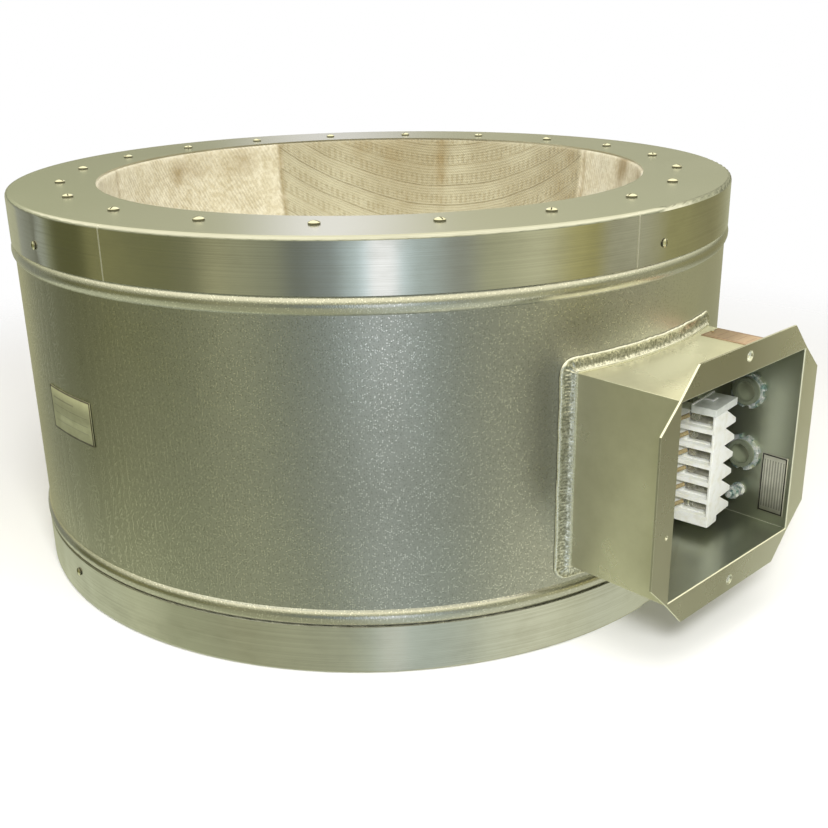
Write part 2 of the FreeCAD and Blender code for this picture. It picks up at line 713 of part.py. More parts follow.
def front_opening_edges(shape):
    # The four straight edges where the walls turn out into the flanges.
    front = -number(BOX_FRONT)
    half_width = number(WALL_INSIDE) + TOLERANCE
    half_height = size("box_height") / 2 - size("sheet_wall") + TOLERANCE
    level = size("box_level")
    names = []
    for index, edge in enumerate(shape.Edges, start=1):
        box = edge.BoundBox
        on_front = max(abs(box.YMin - front), abs(box.YMax - front)) < TOLERANCE
        within_width = max(abs(box.XMin), abs(box.XMax)) < half_width
        within_height = max(abs(box.ZMin - level), abs(box.ZMax - level)) < half_height
        straight = edge.Curve.TypeId == "Part::GeomLine"
        if on_front and within_width and within_height and straight:
            names.append("Edge%d" % index)
    return names


def rounded_block(half_width, half_height, corner):
    # A block with rounded corners, from the drum's axis out to the box's front.
    far = number(BOX_FRONT)
    block = Part.makeBox(2 * half_width, far, 2 * half_height,
                         Vector(-half_width, -far, size("box_level") - half_height))
    if corner == 0:
        return block
    return block.makeFillet(corner, [edge for edge in block.Edges if edge.BoundBox.YLength > far / 2])


def bead_form(level, gap):
    # The round form that one of the shell's beads is part of, larger by the gap.
    ring = number("%s + sizes.bead_height - %s" % (SHELL_OUTSIDE, BEAD_RADIUS))
    return Part.makeTorus(ring, number(BEAD_RADIUS) + gap, Vector(0, 0, number(level)))


def make_box_weld():
    # A fillet weld that hugs the drum, thickest at the box's wall and thin at its outer toe.
    half_width = size("box_width") / 2
    half_height = size("box_height") / 2
    steps = []
    for share in WELD_STEPS:
        spread = size("weld_leg") * share
        climb = (1 - share) / (1 - WELD_STEPS[-1])
        rise = size("weld_toe") + (size("weld_rise") - size("weld_toe")) * climb
        block = rounded_block(half_width + spread, half_height + spread, size("weld_corner") * share)
        steps.append(block.common(Part.makeCylinder(number(ON_SHELL) + rise, number(TOP))))
    weld = steps[0].fuse(steps[1:]).removeSplitter()
    weld = weld.cut(rounded_block(half_width, half_height, 0))
    weld = weld.cut(Part.makeCylinder(number(ON_SHELL), number(TOP)))
    for level in BEAD_LEVELS:
        weld = weld.cut(bead_form(level, size("curved_gap")))
    add_shape("box_weld", weld)


# Conduit hubs and locknuts, ground stud.

def wall_placement(x, setback, level):
    # Local +Z points out through the box's right wall.
    turn = FreeCAD.Rotation(Vector(0, 1, 0), 90)
    return FreeCAD.Placement(Vector(number(x), -number(BOX_FRONT) + size(setback), number(level)), turn)


def hexagon(flats):
    corner = "(%s / 2 / cos(30))" % flats
    return [("%s * cos(%d)" % (corner, 60 * step), "%s * sin(%d)" % (corner, 60 * step)) for step in range(6)]


def make_conduit_hub(label, level):
    body = make_body(label)
    nut = make_sketch(body, "XY_Plane")
    draw_outline(nut, hexagon("sizes.hub_hex_flats"))
    pad(body, nut, "sizes.hub_hex_height")
    barrel = make_sketch(body, "XY_Plane", offset="sizes.hub_hex_height")
    draw_circle(barrel, "0", "0", "sizes.hub_body_radius")
    pad(body, barrel, "sizes.hub_body_height")
    nipple = make_sketch(body, "XY_Plane")
    draw_circle(nipple, "0", "0", "sizes.nipple_radius")
    pad(body, nipple, "sizes.sheet_wall + sizes.nipple_reach", reverse=True)
    bore = make_sketch(body, "XY_Plane")
    draw_circle(bore, "0", "0", "sizes.hub_bore_radius")
    pocket(body, bore, length="6 * sizes.hub_hex_flats", symmetric=True)
    socket = make_sketch(body, "XY_Plane", offset="sizes.hub_hex_height + sizes.hub_body_height")
    draw_circle(socket, "0", "0", "sizes.hub_socket_radius")
    pocket(body, socket, length="sizes.hub_socket_depth")
    body.Placement = wall_placement("sizes.box_width / 2", "conduit_setback", level)


def make_locknut(label, level):
    # A ring with lugs round its edge, run up against the inside of the wall.
    body = make_body(label)
    ring = make_sketch(body, "XY_Plane")
    draw_circle(ring, "0", "0", "sizes.locknut_radius")
    draw_circle(ring, "0", "0", "sizes.nipple_radius + sizes.thread_gap")
    pad(body, ring, "sizes.locknut_height")
    notch = make_sketch(body, "XY_Plane")
    draw_rectangle(notch, "sizes.locknut_radius - sizes.locknut_notch_depth",
                   "sizes.locknut_radius + %g" % CUT_MARGIN,
                   "-sizes.locknut_notch_width / 2", "sizes.locknut_notch_width / 2")
    notches = pocket(body, notch, length="3 * sizes.locknut_height", symmetric=True)
    polar_pattern(body, notches, "sizes.locknut_lug_count")
    body.Placement = wall_placement("%s - sizes.locknut_height" % WALL_INSIDE, "conduit_setback", level)


def make_ground_stud():
    body = make_body("ground_stud")
    head = make_sketch(body, "XY_Plane")
    draw_circle(head, "0", "0", "sizes.ground_head_radius")
    pad(body, head, "sizes.ground_head_height")
    shank = make_sketch(body, "XY_Plane")
    draw_circle(shank, "0", "0", "sizes.ground_radius")
    pad(body, shank, "sizes.sheet_wall + sizes.ground_reach", reverse=True)
    body.Placement = wall_placement("sizes.box_width / 2", "ground_setback", GROUND_LEVEL)


def make_ground_hardware():
    washer = make_body("ground_washer")
    disc = make_sketch(washer, "XY_Plane")
    draw_circle(disc, "0", "0", "sizes.washer_radius")
    draw_circle(disc, "0", "0", "sizes.ground_hole_radius")
    pad(washer, disc, "sizes.washer_height")
    nut = make_body("ground_nut")
    hexagonal = make_sketch(nut, "XY_Plane")
    draw_outline(hexagonal, hexagon("sizes.nut_flats"))
    draw_circle(hexagonal, "0", "0", "sizes.ground_hole_radius")
    pad(nut, hexagonal, "sizes.nut_height")
    washer_spots = []
    nut_spots = []
    for reach in ("0", "sizes.second_nut_reach"):
        foot = "%s - %s - sizes.washer_height" % (WALL_INSIDE, reach)
        washer_spots.append(wall_placement(foot, "ground_setback", GROUND_LEVEL))
        nut_spots.append(wall_placement("%s - sizes.nut_height" % foot, "ground_setback", GROUND_LEVEL))
    add_copies("ground_washers", washer, washer_spots)
    add_copies("ground_nuts", nut, nut_spots)


# Terminal block. Its own frame has x across (away from the leads), y towards the drum and z up,
# with the origin on the block's back face and on the middle line of the sections.

def block_placement(level, out="0"):
    angle = number(BLOCK_ANGLE)
    turned = math.radians(angle)
    radius = number("%s + %s" % (BLOCK_BACK, out))
    spot = Vector(radius * math.sin(turned), -radius * math.cos(turned), number(level))
    return FreeCAD.Placement(spot, FreeCAD.Rotation(Vector(0, 0, 1), angle))


def section_foot(index):
    return "(%s + %d * sizes.section_pitch)" % (STACK_FOOT, index)


def make_terminal_section(index):
    body = make_body("terminal_section_%d" % (index + 1))
    core = make_sketch(body, "XY_Plane")
    draw_rectangle(core, CORE_LEFT, CORE_RIGHT, "-sizes.section_depth", "0")
    pad(body, core, "sizes.section_pitch")
    barrier = make_sketch(body, "XY_Plane")
    draw_rectangle(barrier, LEFT, CORE_LEFT, "-sizes.section_depth", "0")
    pad(body, barrier, "sizes.barrier_wall")
    front_wall = make_sketch(body, "XY_Plane")
    draw_rectangle(front_wall, LEFT, CORE_LEFT, "-sizes.section_depth",
                   "-sizes.section_depth + sizes.cell_front_wall")
    pad(body, front_wall, "sizes.section_pitch")
    tooth = make_sketch(body)
    draw_outline(tooth, [
        (CORE_RIGHT, "0"),
        (RIGHT, "0"),
        (RIGHT, "sizes.tooth_tip_height"),
        (CORE_RIGHT, "sizes.tooth_height"),
    ])
    pad(body, tooth, "sizes.section_depth")
    slope = make_sketch(body, "XY_Plane")
    draw_rectangle(slope, CORE_RIGHT, "%s + %g" % (RIGHT, CUT_MARGIN), "-sizes.tooth_setback",
                   "%g" % CUT_MARGIN)
    pocket(body, slope, length="3 * sizes.section_pitch", symmetric=True)
    cell = make_sketch(body, "YZ_Plane", offset=CORE_LEFT)
    draw_rectangle(cell, CELL_FAR, CELL_NEAR, CELL_FOOT, CELL_TOP)
    pocket(body, cell, length="sizes.cell_depth", reverse=True)
    body.Placement = block_placement(section_foot(index))


def make_end_plate():
    body = make_body("terminal_end_plate")
    plate = make_sketch(body, "XY_Plane")
    back = "(sizes.end_plate_depth - sizes.section_depth)"
    draw_rectangle(plate, LEFT, RIGHT, "-sizes.section_depth", back)
    pad(body, plate, "sizes.end_plate_wall")
    rib = make_sketch(body, "XY_Plane", offset="sizes.end_plate_wall")
    along_back = "(%s - sizes.end_rib_width)" % back
    foot_front = "(%s - sizes.end_plate_depth / 2)" % back
    foot_back = "(%s + sizes.end_rib_width)" % foot_front
    stem_left = "-sizes.end_rib_stem"
    stem_right = "(sizes.end_rib_width - sizes.end_rib_stem)"
    draw_outline(rib, [
        (LEFT, back),
        (LEFT, along_back),
        (stem_left, along_back),
        (stem_left, foot_front),
        ("sizes.end_rib_foot", foot_front),
        ("sizes.end_rib_foot", foot_back),
        (stem_right, foot_back),
        (stem_right, along_back),
        (RIGHT, along_back),
        (RIGHT, back),
    ])
    pad(body, rib, "sizes.end_rib_height")
    body.Placement = block_placement(STACK_TOP)


def make_end_stop():
    body = make_body("terminal_end_stop")
    plate = make_sketch(body, "XY_Plane")
    draw_outline(plate, [
        (LEFT, "-sizes.section_depth"),
        ("%s - sizes.end_stop_corner" % CORE_RIGHT, "-sizes.section_depth"),
        (CORE_RIGHT, "-sizes.section_depth + sizes.end_stop_corner"),
        (CORE_RIGHT, "0"),
        (LEFT, "0"),
    ])
    pad(body, plate, "sizes.end_stop_wall", reverse=True)
    body.Placement = block_placement(STACK_FOOT)


def section_placements(offset="0"):
    return [block_placement("%s + %s" % (section_foot(index), offset)) for index in range(SECTION_COUNT)]


def make_terminal_metal():
    clamp = make_body("terminal_clamp")
    low = "%s + sizes.clamp_margin" % CELL_FOOT
    high = "%s - sizes.clamp_margin" % CELL_TOP
    front = "%s + sizes.clamp_margin" % CELL_FAR
    plate = make_sketch(clamp, "YZ_Plane", offset=CLAMP_FACE)
    draw_rectangle(plate, front, "%s - sizes.clamp_margin" % CELL_NEAR, low, high)
    pad(clamp, plate, "sizes.clamp_plate_wall")
    stem = make_sketch(clamp, "YZ_Plane", offset=CLAMP_FACE)
    draw_rectangle(stem, front, "%s + sizes.clamp_stem_width" % front, low, high)
    pad(clamp, stem, "sizes.cell_depth / 2")
    add_copies("terminal_clamps", clamp, section_placements())
    screw = make_body("terminal_screw")
    profile = make_sketch(screw, "XY_Plane")
    draw_circle(profile, "0", "0", "sizes.clamp_screw_radius")
    pad(screw, profile, "sizes.clamp_screw_height")
    slot = make_sketch(screw, "XY_Plane", offset="sizes.clamp_screw_height")
    draw_rectangle(slot, "-2 * sizes.clamp_screw_radius", "2 * sizes.clamp_screw_radius",
                   "-sizes.screw_slot_width / 2", "sizes.screw_slot_width / 2")
    pocket(screw, slot, length="sizes.clamp_screw_height / 2")
    across = number(CLAMP_FACE)
    along = number("%s - sizes.clamp_screw_setback" % CELL_NEAR)
    outward = FreeCAD.Rotation(Vector(0, 1, 0), -90)
    spots = []
    for index, spot in enumerate(section_placements(CELL_MIDDLE)):
        turn = FreeCAD.Rotation(Vector(0, 0, 1), index * SLOT_TURN)
        local = FreeCAD.Placement(Vector(across, along, 0), outward.multiply(turn))
        spots.append(spot.multiply(local))
    add_copies("terminal_screws", screw, spots)


def make_rail():
    # A top-hat rail: its web stands on the spacers and its two lips carry the sections.
    body = make_body("terminal_rail")
    profile = make_sketch(body, "XY_Plane")
    half = "sizes.rail_width / 2"
    web = "(%s - sizes.rail_lip)" % half
    draw_outline(profile, [
        ("-%s" % half, "0"),
        ("-%s" % half, "sizes.rail_wall"),
        ("-%s" % web, "sizes.rail_wall"),
        ("-%s" % web, "sizes.rail_height"),
        (web, "sizes.rail_height"),
        (web, "sizes.rail_wall"),
        (half, "sizes.rail_wall"),
        (half, "0"),
        ("%s - sizes.rail_wall" % web, "0"),
        ("%s - sizes.rail_wall" % web, "sizes.rail_height - sizes.rail_wall"),
        ("-%s + sizes.rail_wall" % web, "sizes.rail_height - sizes.rail_wall"),
        ("-%s + sizes.rail_wall" % web, "0"),
    ])
    pad(body, profile, RAIL_LENGTH)
    holes = make_sketch(body)
    for level in ("sizes.spacer_inset", "%s - sizes.spacer_inset" % RAIL_LENGTH):
        draw_circle(holes, "0", level, "sizes.screw_hole_radius")
    pocket(body, holes)
    body.Placement = block_placement(RAIL_FOOT)


def make_rail_fixings():
    spacer = make_body("rail_spacer")
    disc = make_sketch(spacer, "XY_Plane")
    draw_circle(disc, "0", "0", "sizes.spacer_radius")
    draw_circle(disc, "0", "0", "sizes.screw_hole_radius")
    pad(spacer, disc, "sizes.block_standoff - sizes.rail_height - sizes.curved_gap")
    screw = make_screw("rail_screw", "sizes.rail_head_radius", "sizes.rail_head_height",
                       "(sizes.block_standoff - sizes.rail_height + sizes.rail_wall + 2 * sizes.sheet_wall)")
    angle = number(BLOCK_ANGLE)
    spacers = [radial_placement(angle, number(ON_SHELL), number(level)) for level in SPACER_LEVELS]
    seat = number("%s - sizes.rail_height + sizes.rail_wall" % BLOCK_BACK)
    screws = [radial_placement(angle, seat, number(level)) for level in SPACER_LEVELS]
    add_copies("rail_spacers", spacer, spacers)
    add_copies("rail_screws", screw, screws)


# Leads: from a heater zone, along the channel in the insulation, through the bushing, to a terminal.

def make_lead_bushing():
    # A barrel through the drum with a saddle flange on each side of the sheet.
    hole = Vector(-size("bushing_offset"), 0, number(BUSHING_LEVEL))
    reach = number(BOX_FRONT)
    toward_front = Vector(0, -1, 0)
    barrel = Part.makeCylinder(size("bushing_radius"), reach, hole, toward_front)
    flange = Part.makeCylinder(size("bushing_radius") + size("bushing_flange"), reach, hole, toward_front)
    bore = Part.makeCylinder(size("bushing_bore_radius"), reach, hole, toward_front)
    wall = size("bushing_flange_wall")
    outside = number(ON_SHELL)
    inside = number(SHELL_INSIDE) - size("curved_gap")

    def layer(near, far):
        tall = number(TOP)
        return Part.makeCylinder(far, tall).cut(Part.makeCylinder(near, tall))

    saddle_out = flange.common(layer(outside, outside + wall))
    saddle_in = flange.common(layer(inside - wall, inside))
    middle = barrel.common(layer(inside - wall, outside + wall))
    bushing = middle.fuse([saddle_out, saddle_in]).removeSplitter().cut(bore)
    add_shape("lead_bushing", bushing)


def tube_through(points, radius):
    # Straight runs joined by tangent arcs, each arc as large as its two runs allow.
    edges = []
    here = points[0]
    for before, corner, after in zip(points, points[1:], points[2:]):
        incoming = (corner - before).normalize()
        outgoing = (after - corner).normalize()
        turn = incoming.getAngle(outgoing)
        shorter = min((corner - before).Length, (after - corner).Length)
        setback = ARC_SHARE * shorter
        arc_radius = setback / math.tan(turn / 2)
        start = corner - incoming * setback
        finish = corner + outgoing * setback
        inward = (outgoing - incoming).normalize()
        to_centre = arc_radius / math.cos(turn / 2)
        middle = corner + inward * (to_centre - arc_radius)
        edges.append(Part.LineSegment(here, start).toShape())
        edges.append(Part.Arc(start, middle, finish).toShape())
        here = finish
    edges.append(Part.LineSegment(here, points[-1]).toShape())
    path = Part.Wire(edges)
    start_direction = (points[1] - points[0]).normalize()
    section = Part.Wire([Part.makeCircle(radius, points[0], start_direction)])
    tube = path.makePipeShell([section], True, False)
    expected = math.pi * radius ** 2 * path.Length
    if abs(tube.Volume / expected - 1) > TOLERANCE:
        raise ValueError("a lead's volume is off")
    return tube


def lead_start(zone, turn, x):
    # The lead's end seats on one turn of its heater zone.
    angle = math.radians(number(turn_angle(zone, turn)))
    crest = number(HEATER_CREST)
    centre = number(WELL_CENTRE)
    level = centre - crest * math.cos(angle)
    drop = centre - level - size("lead_radius")
    clear = crest + size("curved_gap")
    sideways = abs(x) - size("lead_radius")
    return Vector(x, -math.sqrt(clear ** 2 - sideways ** 2 - drop ** 2), level)


def make_lead(index):
    # The first lead is the uppermost one on the block, and comes from the upper zone.
    across = index - HALF_LEADS
    x = -size("bushing_offset") + across * size("lead_step_across")
    through = number(BUSHING_LEVEL) - across * size("lead_step_down")
    zone = len(ZONES) - 1 - index // LEADS_PER_ZONE
    turn = int(size("heater_turns")) - 1 - index % LEADS_PER_ZONE
    start = lead_start(zone, turn, x)
    riser = number(INSULATION_OUTSIDE) - size("lead_riser_inset")
    frame = block_placement(section_foot(SECTION_COUNT - 1 - index))
    beside = number(CORE_LEFT) - size("core_inset") / 2
    level = number(CELL_TOP) - size("lead_radius") - size("lead_cell_gap")
    entry = frame.multVec(Vector(beside, -size("lead_entry_reach"), level))
    behind = frame.multVec(Vector(number(LEFT) - size("lead_turn_side"), -size("lead_turn_reach"),
                                  level - size("lead_turn_drop")))
    points = [
        start,
        Vector(x, -riser, start.z),
        Vector(x, -riser, through),
        Vector(x, behind.y, through),
        behind,
        entry,
    ]
    add_shape("lead_wire_%d" % (index + 1), tube_through(points, size("lead_radius")))


# Plates, rivet and spring nuts.

def make_nameplate():
    outside = Part.makeCylinder(number(ON_SHELL) + size("plate_wall"), size("nameplate_height"))
    inside = Part.makeCylinder(number(ON_SHELL), size("nameplate_height"))
    reach = number(BOX_FRONT)
    window = Part.makeBox(size("nameplate_width"), reach, size("nameplate_height"),
                          Vector(-size("nameplate_width") / 2, -reach, 0))
    plate = outside.cut(inside).common(window)
    base = Vector(0, 0, size("nameplate_level") - size("nameplate_height") / 2)
    placement = FreeCAD.Placement(base, FreeCAD.Rotation(Vector(0, 0, 1), size("nameplate_angle")))
    add_shape("drum_nameplate", plate, placement)


def make_box_labels():
    inner = make_body("inner_label")
    face = make_sketch(inner, "YZ_Plane", offset="%s - sizes.plate_wall" % WALL_INSIDE)
    near = "(-%s + sizes.inner_label_setback)" % BOX_FRONT
    middle = "(sizes.box_level - sizes.inner_label_drop)"
    draw_rectangle(face, near, "%s + sizes.inner_label_width" % near,
                   "%s - sizes.inner_label_height / 2" % middle,
                   "%s + sizes.inner_label_height / 2" % middle)
    pad(inner, face, "sizes.plate_wall")
    top = make_body("box_top_label")
    roof = "(sizes.box_level + sizes.box_height / 2)"
    sheet_face = make_sketch(top, "XY_Plane", offset=roof)
    right = "(sizes.box_width / 2 - sizes.top_label_edge)"
    left = "(%s - sizes.top_label_width)" % right
    front = "(-%s + sizes.top_label_setback)" % BOX_FRONT
    weld_crest = "sqrt((%s + sizes.weld_rise) ^ 2 - %s ^ 2)" % (ON_SHELL, left)
    drum_end = "(-%s - sizes.top_label_weld_gap)" % weld_crest
    draw_rectangle(sheet_face, left, right, front, drum_end)
    pad(top, sheet_face, "sizes.plate_wall")
    rivet = make_body("label_rivet")
    head = make_sketch(rivet, "XY_Plane", offset="%s + sizes.plate_wall" % roof)
    draw_circle(head, "%s - sizes.top_label_width / 2" % right,
                "%s - 2 * sizes.rivet_radius" % drum_end, "sizes.rivet_radius")
    pad(rivet, head, "sizes.rivet_height")


def make_spring_nut(label, sign):
    # A thin plate behind the flange, with two tongues across its hole, one each side of its plane.
    body = make_body(label)
    half_width = "sizes.spring_nut_width / 2"
    plate = make_sketch(body)
    reach = "sizes.spring_nut_length / 2"
    draw_rectangle(plate, "-%s" % reach, reach, "-%s" % half_width, half_width)
    draw_circle(plate, "0", "0", "sizes.spring_nut_hole")
    pad(body, plate, "sizes.spring_nut_wall", reverse=True)
    for side in (1, -1):
        tongue = make_sketch(body)
        low = "%d * sizes.spring_tongue_offset - sizes.spring_tongue_width / 2" % side
        high = "%d * sizes.spring_tongue_offset + sizes.spring_tongue_width / 2" % side
        tip = "%d * sizes.spring_tongue_gap" % side
        root = "%d * (sizes.spring_nut_hole + sizes.spring_tongue_gap)" % side
        left, right = (tip, root) if side > 0 else (root, tip)
        draw_rectangle(tongue, left, right, low, high)
        pad(body, tongue, "sizes.spring_nut_wall", reverse=True)
    behind = number(BOX_FRONT) - size("sheet_wall")
    level = size("box_level") + sign * (size("box_height") / 2 + size("cover_hole_inset"))
    body.Placement = FreeCAD.Placement(Vector(0, -behind, level), FreeCAD.Rotation())


make_housing_shell()
make_top_cover()
make_base_pan()
place_cover_screws()
place_skirt_screws()
make_fabric_well()
make_clamp_ring()
for zone_index in range(len(ZONES)):
    make_heater_zone(zone_index)
make_insulation_side()
make_insulation_base()
make_terminal_box()
make_box_weld()
make_conduit_hub("conduit_hub_upper", CONDUIT_LEVELS[0])
make_conduit_hub("conduit_hub_lower", CONDUIT_LEVELS[1])
make_locknut("conduit_locknut_upper", CONDUIT_LEVELS[0])
make_locknut("conduit_locknut_lower", CONDUIT_LEVELS[1])
make_ground_stud()
make_ground_hardware()
for section_index in range(SECTION_COUNT):
    make_terminal_section(section_index)
make_end_plate()
make_end_stop()
make_terminal_metal()
make_rail()
make_rail_fixings()
make_lead_bushing()
for lead_index in range(SECTION_COUNT):
    make_lead(lead_index)
make_nameplate()
make_box_labels()
make_spring_nut("spring_nut_top", 1)
make_spring_nut("spring_nut_bottom", -1)
doc.recompute()

# Patterns of one screw, washer, nut, clamp and spacer are kept in the document but not written.
PATTERN_PIECES = ("cover_screw", "skirt_screw", "ground_washer", "ground_nut", "terminal_clamp",
                  "terminal_screw", "rail_spacer", "rail_screw")

for item in doc.Objects:
    if "Invalid" in item.State or "Error" in item.State:
        raise ValueError("%s did not recompute" % item.Label)

for item in doc.Objects:
    if item.TypeId not in ("PartDesign::Body", "Part::Feature") or item.Label in PATTERN_PIECES:
        continue
    if item.Shape.isNull() or not item.Shape.isValid():
        raise ValueError("%s has no valid shape" % item.Label)
    item.Shape.exportStep(os.path.join("parts", item.Label + ".step"))
    print("%s: %d solid, %.1f mm3" % (item.Label, len(item.Shape.Solids), item.Shape.Volume))
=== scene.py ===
import math

import bmesh
import bpy
from mathutils import Matrix, Vector, noise


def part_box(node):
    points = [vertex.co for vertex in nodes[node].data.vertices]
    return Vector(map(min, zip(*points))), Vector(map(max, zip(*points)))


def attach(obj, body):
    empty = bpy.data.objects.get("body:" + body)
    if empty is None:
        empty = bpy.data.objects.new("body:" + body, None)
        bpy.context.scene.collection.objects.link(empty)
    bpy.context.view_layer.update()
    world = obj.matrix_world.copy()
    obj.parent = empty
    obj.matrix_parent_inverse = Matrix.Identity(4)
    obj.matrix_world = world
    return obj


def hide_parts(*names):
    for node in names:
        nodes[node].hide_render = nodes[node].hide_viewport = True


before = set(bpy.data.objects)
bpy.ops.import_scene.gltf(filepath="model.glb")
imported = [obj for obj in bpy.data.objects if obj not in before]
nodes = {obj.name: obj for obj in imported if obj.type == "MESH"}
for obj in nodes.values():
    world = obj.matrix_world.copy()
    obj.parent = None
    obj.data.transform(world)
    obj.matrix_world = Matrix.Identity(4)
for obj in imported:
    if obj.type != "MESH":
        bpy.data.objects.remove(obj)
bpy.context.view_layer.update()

mm = 0.001


def fromScreen(red, green, blue):
    # a colour as it looks on screen, 0 to 255, to the linear colour that a shader takes
    linear = []
    for value in (red, green, blue):
        share = value / 255
        linear.append(share / 12.92 if share <= 0.04045 else ((share + 0.055) / 1.055) ** 2.4)
    return tuple(linear)


# Sizes that follow from the solids

coverLow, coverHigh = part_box("top_cover")
boxLow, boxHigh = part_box("terminal_box")
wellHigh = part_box("fabric_well")[1]
outerRadius = coverHigh.x
topLevel = coverHigh.z
skirtFoot = coverLow.z
onShell = 303.2 * mm       # the shell's face with the small gap that curved pieces keep
wellRadius = 232.0 * mm
coverWall = 1.6 * mm
boxFlange = 20.0 * mm      # how far the terminal box's flanges stand out from its walls
wellCentre = topLevel - coverWall - 6.0 * mm    # the middle of the well's hemisphere, a little below its rim


# Camera, worked out from the rims of the drum in the photo

photoCamera = {
    "azimuth": -41.493,     # round the drum from the terminal box's side, in degrees
    "distance": 0.97245,    # from the drum's axis, level
    "height": 0.44637,
    "pan": 1.9726,
    "pitch": 20.4135,
    "roll": -1.0399,
    "focal": 1090.2,        # in pixels of the photo's width
    "photoWidth": 828,
    "sensor": 36.0,
}


def makeCamera(look):
    turn, pan = math.radians(look["azimuth"]), math.radians(look["pan"])
    pitch, roll = math.radians(look["pitch"]), math.radians(look["roll"])
    heading = turn - pan
    level = Vector((-math.sin(heading), math.cos(heading), 0))
    right = Vector((math.cos(heading), math.sin(heading), 0))
    forward = level * math.cos(pitch) - Vector((0, 0, math.sin(pitch)))
    up = right.cross(forward)
    rolledRight = right * math.cos(roll) + up * math.sin(roll)
    rolledUp = up * math.cos(roll) - right * math.sin(roll)
    data = bpy.data.cameras.new("photo_camera")
    data.sensor_width = look["sensor"]
    data.lens = look["focal"] / look["photoWidth"] * look["sensor"]
    data.clip_start, data.clip_end = 0.01, 100
    camera = bpy.data.objects.new("photo_camera", data)
    bpy.context.scene.collection.objects.link(camera)
    reach = look["distance"]
    spot = Vector((reach * math.sin(turn), -reach * math.cos(turn), look["height"]))
    axes = Matrix((rolledRight, rolledUp, -forward)).transposed()
    camera.matrix_world = Matrix.Translation(spot) @ axes.to_4x4()
    bpy.context.scene.camera = camera
    return camera


photoView = makeCamera(photoCamera)
bpy.context.scene.view_settings.view_transform = "Standard"
print("camera in place")


# Node helpers

def addNode(tree, kind, inputs=None, **settings):
    node = tree.nodes.new(kind)
    for name, value in settings.items():
        setattr(node, name, value)
    for name, value in (inputs or {}).items():
        feed(tree, node.inputs[name], value)
    return node


def feed(tree, socket, value):
    if isinstance(value, bpy.types.NodeSocket):
        tree.links.new(value, socket)
    else:
        socket.default_value = value


def calc(tree, operation, first, second=0.0, third=0.0, clamp=False):
    node = tree.nodes.new("ShaderNodeMath")
    node.operation = operation
    node.use_clamp = clamp
    for socket, value in zip(node.inputs, (first, second, third)):
        feed(tree, socket, value)
    return node.outputs[0]


def times(tree, *values):
    product = values[0]
    for value in values[1:]:
        product = calc(tree, "MULTIPLY", product, value)
    return product


def plus(tree, *values):
    total = values[0]
    for value in values[1:]:
        total = calc(tree, "ADD", total, value)
    return total


def minus(tree, first, second):
    return calc(tree, "SUBTRACT", first, second)


def spread(tree, value, low, high, bottom=0.0, top=1.0, smooth=True):
    # the value's place between low and high, held at the ends, as a number from bottom to top
    node = addNode(tree, "ShaderNodeMapRange", {
        "Value": value, "From Min": low, "From Max": high, "To Min": bottom, "To Max": top})
    node.interpolation_type = "SMOOTHSTEP" if smooth else "LINEAR"
    return node.outputs[0]


def blendColours(tree, share, first, second, kind="MIX"):
    node = tree.nodes.new("ShaderNodeMix")
    node.data_type = "RGBA"
    node.blend_type = kind
    feed(tree, node.inputs["Factor"], share)
    for socket, value in ((node.inputs[6], first), (node.inputs[7], second)):
        feed(tree, socket, value if isinstance(value, bpy.types.NodeSocket) else (*value, 1))
    return node.outputs[2]


def grain(tree, place, scale, detail=3.0, roughness=0.5, distortion=0.0):
    return addNode(tree, "ShaderNodeTexNoise", {
        "Vector": place, "Scale": scale, "Detail": detail, "Roughness": roughness,
        "Distortion": distortion}).outputs["Fac"]


def startMaterial(name, tint, metal=1.0, rough=0.3):
    material = bpy.data.materials.new(name)
    material.use_nodes = True
    tree = material.node_tree
    shader = tree.nodes["Principled BSDF"]
    shader.inputs["Base Color"].default_value = (*tint, 1)
    shader.inputs["Metallic"].default_value = metal
    shader.inputs["Roughness"].default_value = rough
    material.diffuse_color = (*tint, 1)
    return material, tree, shader


def addBump(tree, shader, height, strength, distance):
    settings = {"Height": height, "Strength": strength, "Distance": distance}
    bump = addNode(tree, "ShaderNodeBump", settings)
    tree.links.new(bump.outputs["Normal"], shader.inputs["Normal"])


def objectPlace(tree):
    return addNode(tree, "ShaderNodeTexCoord").outputs["Object"]


def faceNormal(tree):
    return addNode(tree, "ShaderNodeNewGeometry").outputs["Normal"]


def parted(tree, vector):
    return addNode(tree, "ShaderNodeSeparateXYZ", {"Vector": vector}).outputs


def angleOf(tree, x, y):
    # the angle round the drum, from the terminal box's side towards +X
    return calc(tree, "ARCTAN2", x, times(tree, y, -1.0))


def reachOf(tree, x, y):
    return calc(tree, "SQRT", plus(tree, times(tree, x, x), times(tree, y, y)))


def roundDrum(tree):
    # a point's angle round the drum, its radius and its level
    x, y, z = parted(tree, objectPlace(tree))
    return angleOf(tree, x, y), reachOf(tree, x, y), z


def joined(tree, x, y, z):
    return addNode(tree, "ShaderNodeCombineXYZ", {"X": x, "Y": y, "Z": z}).outputs[0]


def turnShare(tree, angle):
    # an angle round the drum as a share of a whole turn, 0 to 1, as the band ramps take it
    return plus(tree, calc(tree, "DIVIDE", angle, 2 * math.pi), 0.5)


def bandRamp(tree, share, bands):
    ramp = addNode(tree, "ShaderNodeValToRGB", {"Fac": share})
    ramp.color_ramp.interpolation = "EASE"
    points = ramp.color_ramp.elements
    for index, (degrees, colour) in enumerate(bands):
        spot = (degrees + 180) / 360
        if index < 2:
            points[index].position = spot
            point = points[index]
        else:
            point = points.new(spot)
        point.color = (*fromScreen(*colour), 1)
    return ramp.outputs[0]


# Materials

